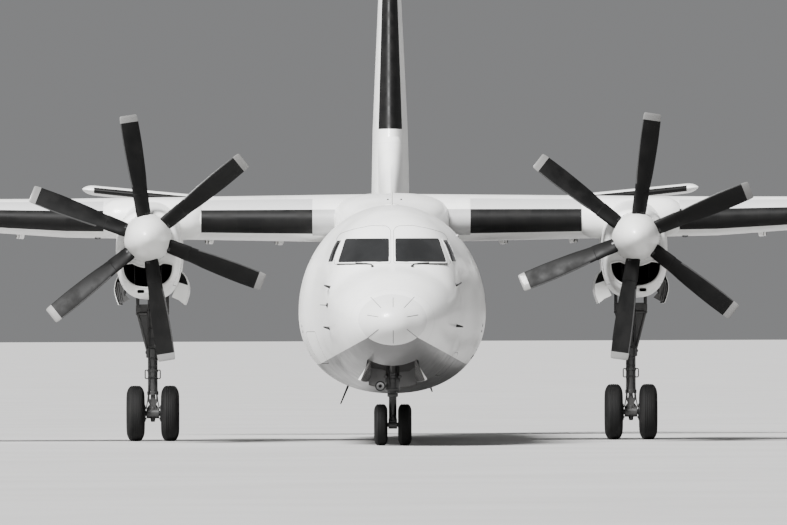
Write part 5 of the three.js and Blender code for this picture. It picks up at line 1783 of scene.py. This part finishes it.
def build_nose_fittings():
    strips, wipers, parts = [], [], []
    for sign in (1, -1):
        for start, end in STRIPS:
            path = []
            for t in np.linspace(0, 1, 12):
                x, z = blend(start[0], end[0], t), blend(start[1], end[1], t)
                path.append([sign * x, nose_station(x, z), z])
            strips.append(tube(path, 4, 6))
        front = SURFACES[sign][0]
        arm = front([[282, 2566], [300, 2592], [360, 2602], [520, 2612]], -17)
        blade = front([[x, 2603] for x in np.linspace(365, 785, 14)], -11)
        wipers += [tube(arm, 8, 8), tube(blade, 8, 8)]
        wipers.append(rod(front([[282, 2564]], 12)[0], front([[282, 2564]], -26)[0], 19, 14))
    for heights in (np.linspace(1655, 1470, 8), np.linspace(1985, 2120, 8)):
        strips.append(tube([[8, nose_station(8, z), z] for z in heights], 4, 6))
    piece("radome_strips", join(*strips), "airframe", [STEEL])
    piece("windscreen_wipers", join(*wipers), "airframe", [SEAL])
    parts += [probe(*each) for each in PROBES]
    x, z, reach = VANE
    foot = np.array([x, nose_station(x, z), z])
    parts.append(rod(foot + [22, 8, 0], foot - [12, 4, 0], 33, 24, look=FITTING_METAL, bevel=3))
    parts.append(rod(foot, foot - [reach, 30, -6], 7, 12, 4, look=FITTING_METAL))
    for sign in (1, -1):
        for z in (1650, 1730):
            port = skin_point(4100, z, sign)
            parts.append(rod(port - [sign * 10, 0, 0], port + [sign * 2, 0, 0], 26, 20, look=FITTING_METAL))
    piece("air_data_probes", join(*parts), "airframe", [SPINNER_PALE, STEEL, SEAL])


def build_antennas():
    masts = [blade_mast([0, 4650, top_of(4650) - 6], 210, 260, 26, 90)]
    for x, tip_x, tip_z, station, chord in BELLY_MASTS:
        foot = np.array([x, station, belly_height(station, abs(x)) + 8])
        reach = np.array([tip_x - x, 0, tip_z - foot[2]])
        lean = 0.6 * abs(reach[2]) ** 0.5
        mast = blade_mast([0, 0, 0], np.linalg.norm(reach), chord, 30, lean, True, FITTING_METAL)
        turn = np.array(Matrix.Rotation(math.atan2(reach[0], reach[2]) + math.pi, 3, "Y"))
        masts.append(mast.placed(np.column_stack([turn, foot])))
    masts.append(blade_mast([0, 14300, bottom_of(14300) + 6], 210, 230, 24, 110, True))
    for s, size in ((6200, 120), (16200, 170)):
        dome = [[size * math.cos(a), 46 * math.sin(a)] for a in np.linspace(-0.2, math.pi / 2, 8)]
        masts.append(lathe(dome, [0, s, top_of(s) - 6], [0, 0, 1], 32))
    for x in (-53, 145):
        masts.append(rod([x, 9370, 3602], [x, 9470, 3602], 15, 16, look=FITTING_DARK))
    piece("antennas", join(*masts), "airframe", [SPINNER_PALE, STEEL, SEAL])
    beacons = []
    for at, way in (([0, 13050, top_of(13050) + 7], 1), ([0, 12900, 742], -1)):
        dome = [[68 * math.cos(a), 60 * math.sin(a)] for a in np.linspace(-0.25, math.pi / 2, 9)]
        beacons.append(lathe(dome, at, [0, 0, way], 32))
    piece("beacons", join(*beacons), "airframe", [LENS_RED])


def wing_point(x, f, above=True):
    rows = CENTRE if abs(x) < PANEL_JOINT_X else OUTER
    middle, half = place_on(rows, abs(x), f)
    return middle + [0, 0, half if above else -half]


def wicks(points, body, name, length=150):
    parts = [rod(np.array(at) - [0, 14, 0], np.array(at) + [0, length, -6], 4.5, 6, 2.5) for at in points]
    pair(name, join(*parts), body, [SEAL])


def build_wing_fittings():
    at = wing_point(4395, 0.2, False)
    housing = [[10, -30], [36, -30], [38, 4], [42, 12], [46, 8], [44, -4], [44, -34], [10, -34]]
    lens = [[1, 3], [24, 4], [38, 0], [38, -12], [1, -12]]
    pair("landing_lamp_housings", lathe(housing, at, [0, -0.3, -1], 32), "airframe", [STEEL])
    pair("landing_lamp_lenses", lathe(lens, at, [0, -0.3, -1], 32), "airframe", [LENS_CLEAR])
    for side, sign in SIDES:
        tip = mixed(OUTER, 14050)
        at = np.array([sign * 14300, tip[2] + 150, 3735])
        dome = [[44 * math.cos(a), 120 * math.sin(a)] for a in np.linspace(-0.3, math.pi / 2, 9)]
        lens = LENS_RED if sign > 0 else LENS_GREEN
        piece(f"navigation_lamp_{side}", lathe(dome, at, [sign * 0.25, -1, 0], 28), "airframe", [lens])
    trailing = [wing_point(x, 0.995) - [0, 6, 0] for x in (9600, 10700, 11800, 12900, 13700)]
    wicks(trailing, "aileron_{}", "aileron_wicks")
    ends = [[x, mixed(TAIL, x)[2] + mixed(TAIL, x)[3] - 8, mixed(TAIL, x)[1]] for x in (2900, 3700, 4400)]
    wicks(ends, "elevator_{}", "elevator_wicks")
    caps = []
    for x in (1800, 2500, 5600, 7400, 9300, 11600):
        at = wing_point(x, 0.45)
        caps.append(rod(at - [0, 0, 4], at + [0, 0, 2.5], 52, 28, bevel=1))
        under = wing_point(x, 0.5, False)
        caps.append(rod(under - [0, 0, 2.5], under + [0, 0, 4], 70, 28, bevel=1))
    pair("fuel_caps_and_panels", join(*caps), "airframe", [SILVER])


def build_nacelle_fittings():
    parts = []
    for station, length in ((9900, 110), (10350, 80)):
        at = nacelle_side([[station, 2300]], -1)[0]
        path = [at + [-12, 0, 10], at + [10, 20, -30], at + [14, 40, -length]]
        parts.append(tube(path, 13, 12, FITTING_METAL))
    pair("nacelle_drains", join(*parts), "airframe", [COWL_WHITE, STEEL])


TAIL_BUMPER = ((18500, 30, 2), (18650, 44, 46), (18950, 44, 46), (19150, 26, 2))  # station, half width, depth


def build_tail_fittings():
    lens = [[1, 78], [34, 74], [60, 62], [76, 44], [82, 20], [82, -10], [1, -10]]
    light = lathe(lens, [0, LENGTH - 70, 3080], [0, 1, 0], 32)
    piece("tail_lamp", light, "airframe", [LENS_CLEAR])
    top = fin_row(8240)
    dome = [[60 * math.cos(a), 50 * math.sin(a)] for a in np.linspace(-0.3, math.pi / 2, 8)]
    piece("fin_beacon", lathe(dome, [0, top[2] + 600, HEIGHT - 52], [0, 0, 1], 28), "airframe", [LENS_RED])
    mast = blade_mast([0, 16000, bottom_of(16000) + 6], 130, 180, 22, 60, True)
    rings = []
    for station, half, depth in TAIL_BUMPER:
        root, foot = bottom_of(station) + 30, bottom_of(station) - depth
        rings.append([[-half, station, root], [-0.7 * half, station, foot], [0.7 * half, station, foot],
                      [half, station, root]])
    form = join(mast, loft(rings, FITTING_DARK))
    piece("tail_bumper_and_mast", form, "airframe", [SPINNER_PALE, STEEL, SEAL])


# Stage

PHOTO = (787, 525)
FOCAL = 13880  # pixels
EYE = (-0.254, -209.77, 1.6)  # metres
ROLL = 0.2  # degrees
AHEAD_X = 374.8  # pixels, where the view looks straight along the aircraft
HORIZON_Y = 334.2


def build_stage():
    ground = Recipe("pale_concrete", "floor")
    grain = ground.noise(3, 6)
    blot = ground.ramp(ground.noise(0.25, 4), 0.35, 0.7)
    color = ground.mix(blot, grey(0.36, 0.01), grey(0.32, 0.015))
    color = ground.mix(ground.math("MULTIPLY", grain, 0.16), color, grey(0.3))
    ground.finish(color, 0.85, 0.0, grain, 0.002, 0.2)
    half = 3000000
    corners = [[*corner, 0] for corner in rectangle(-half, half, -half, half)]
    floor = object_of("floor", mesh_of("floor", Form(corners, [(0, 1, 2, 3)]), [ground.material]))
    world = bpy.data.worlds.new("studio")
    world.use_nodes = True
    background = world.node_tree.nodes["Background"]
    background.inputs["Color"].default_value = (0.23, 0.232, 0.236, 1)
    background.inputs["Strength"].default_value = 1.0
    bpy.context.scene.world = world
    sun = bpy.data.lights.new("soft_sun", "SUN")
    sun.energy = 14
    sun.angle = 0.35
    lamp_shown = bpy.data.objects.new("soft_sun", sun)
    lamp_shown.rotation_euler = (math.radians(42), 0, math.radians(-36))
    bpy.context.scene.collection.objects.link(lamp_shown)

    view = bpy.data.cameras.new("view")
    view.sensor_fit = "HORIZONTAL"
    view.sensor_width = 36
    view.lens = FOCAL * 36 / PHOTO[0]
    view.clip_start = 1
    view.clip_end = 20000
    seen = bpy.data.objects.new("view", view)
    yaw = math.atan((PHOTO[0] / 2 - AHEAD_X) / FOCAL)
    pitch = math.atan((HORIZON_Y - PHOTO[1] / 2) / FOCAL)
    seen.location = EYE
    seen.rotation_euler = (math.pi / 2 + pitch, math.radians(ROLL), -yaw)
    bpy.context.scene.collection.objects.link(seen)
    bpy.context.scene.camera = seen


whole_body = build_fuselage()
build_airstair(whole_body)
build_wings()
build_tailplane()
build_fin()
build_nacelles()
build_propellers()
build_wheels()
build_main_gear()
build_nose_gear()
build_gear_doors()
build_nose_bulkhead()
build_engines()
build_nose_fittings()
build_antennas()
build_wing_fittings()
build_nacelle_fittings()
build_tail_fittings()
build_stage()
for blank in BLANKS:
    bpy.data.materials.remove(blank)
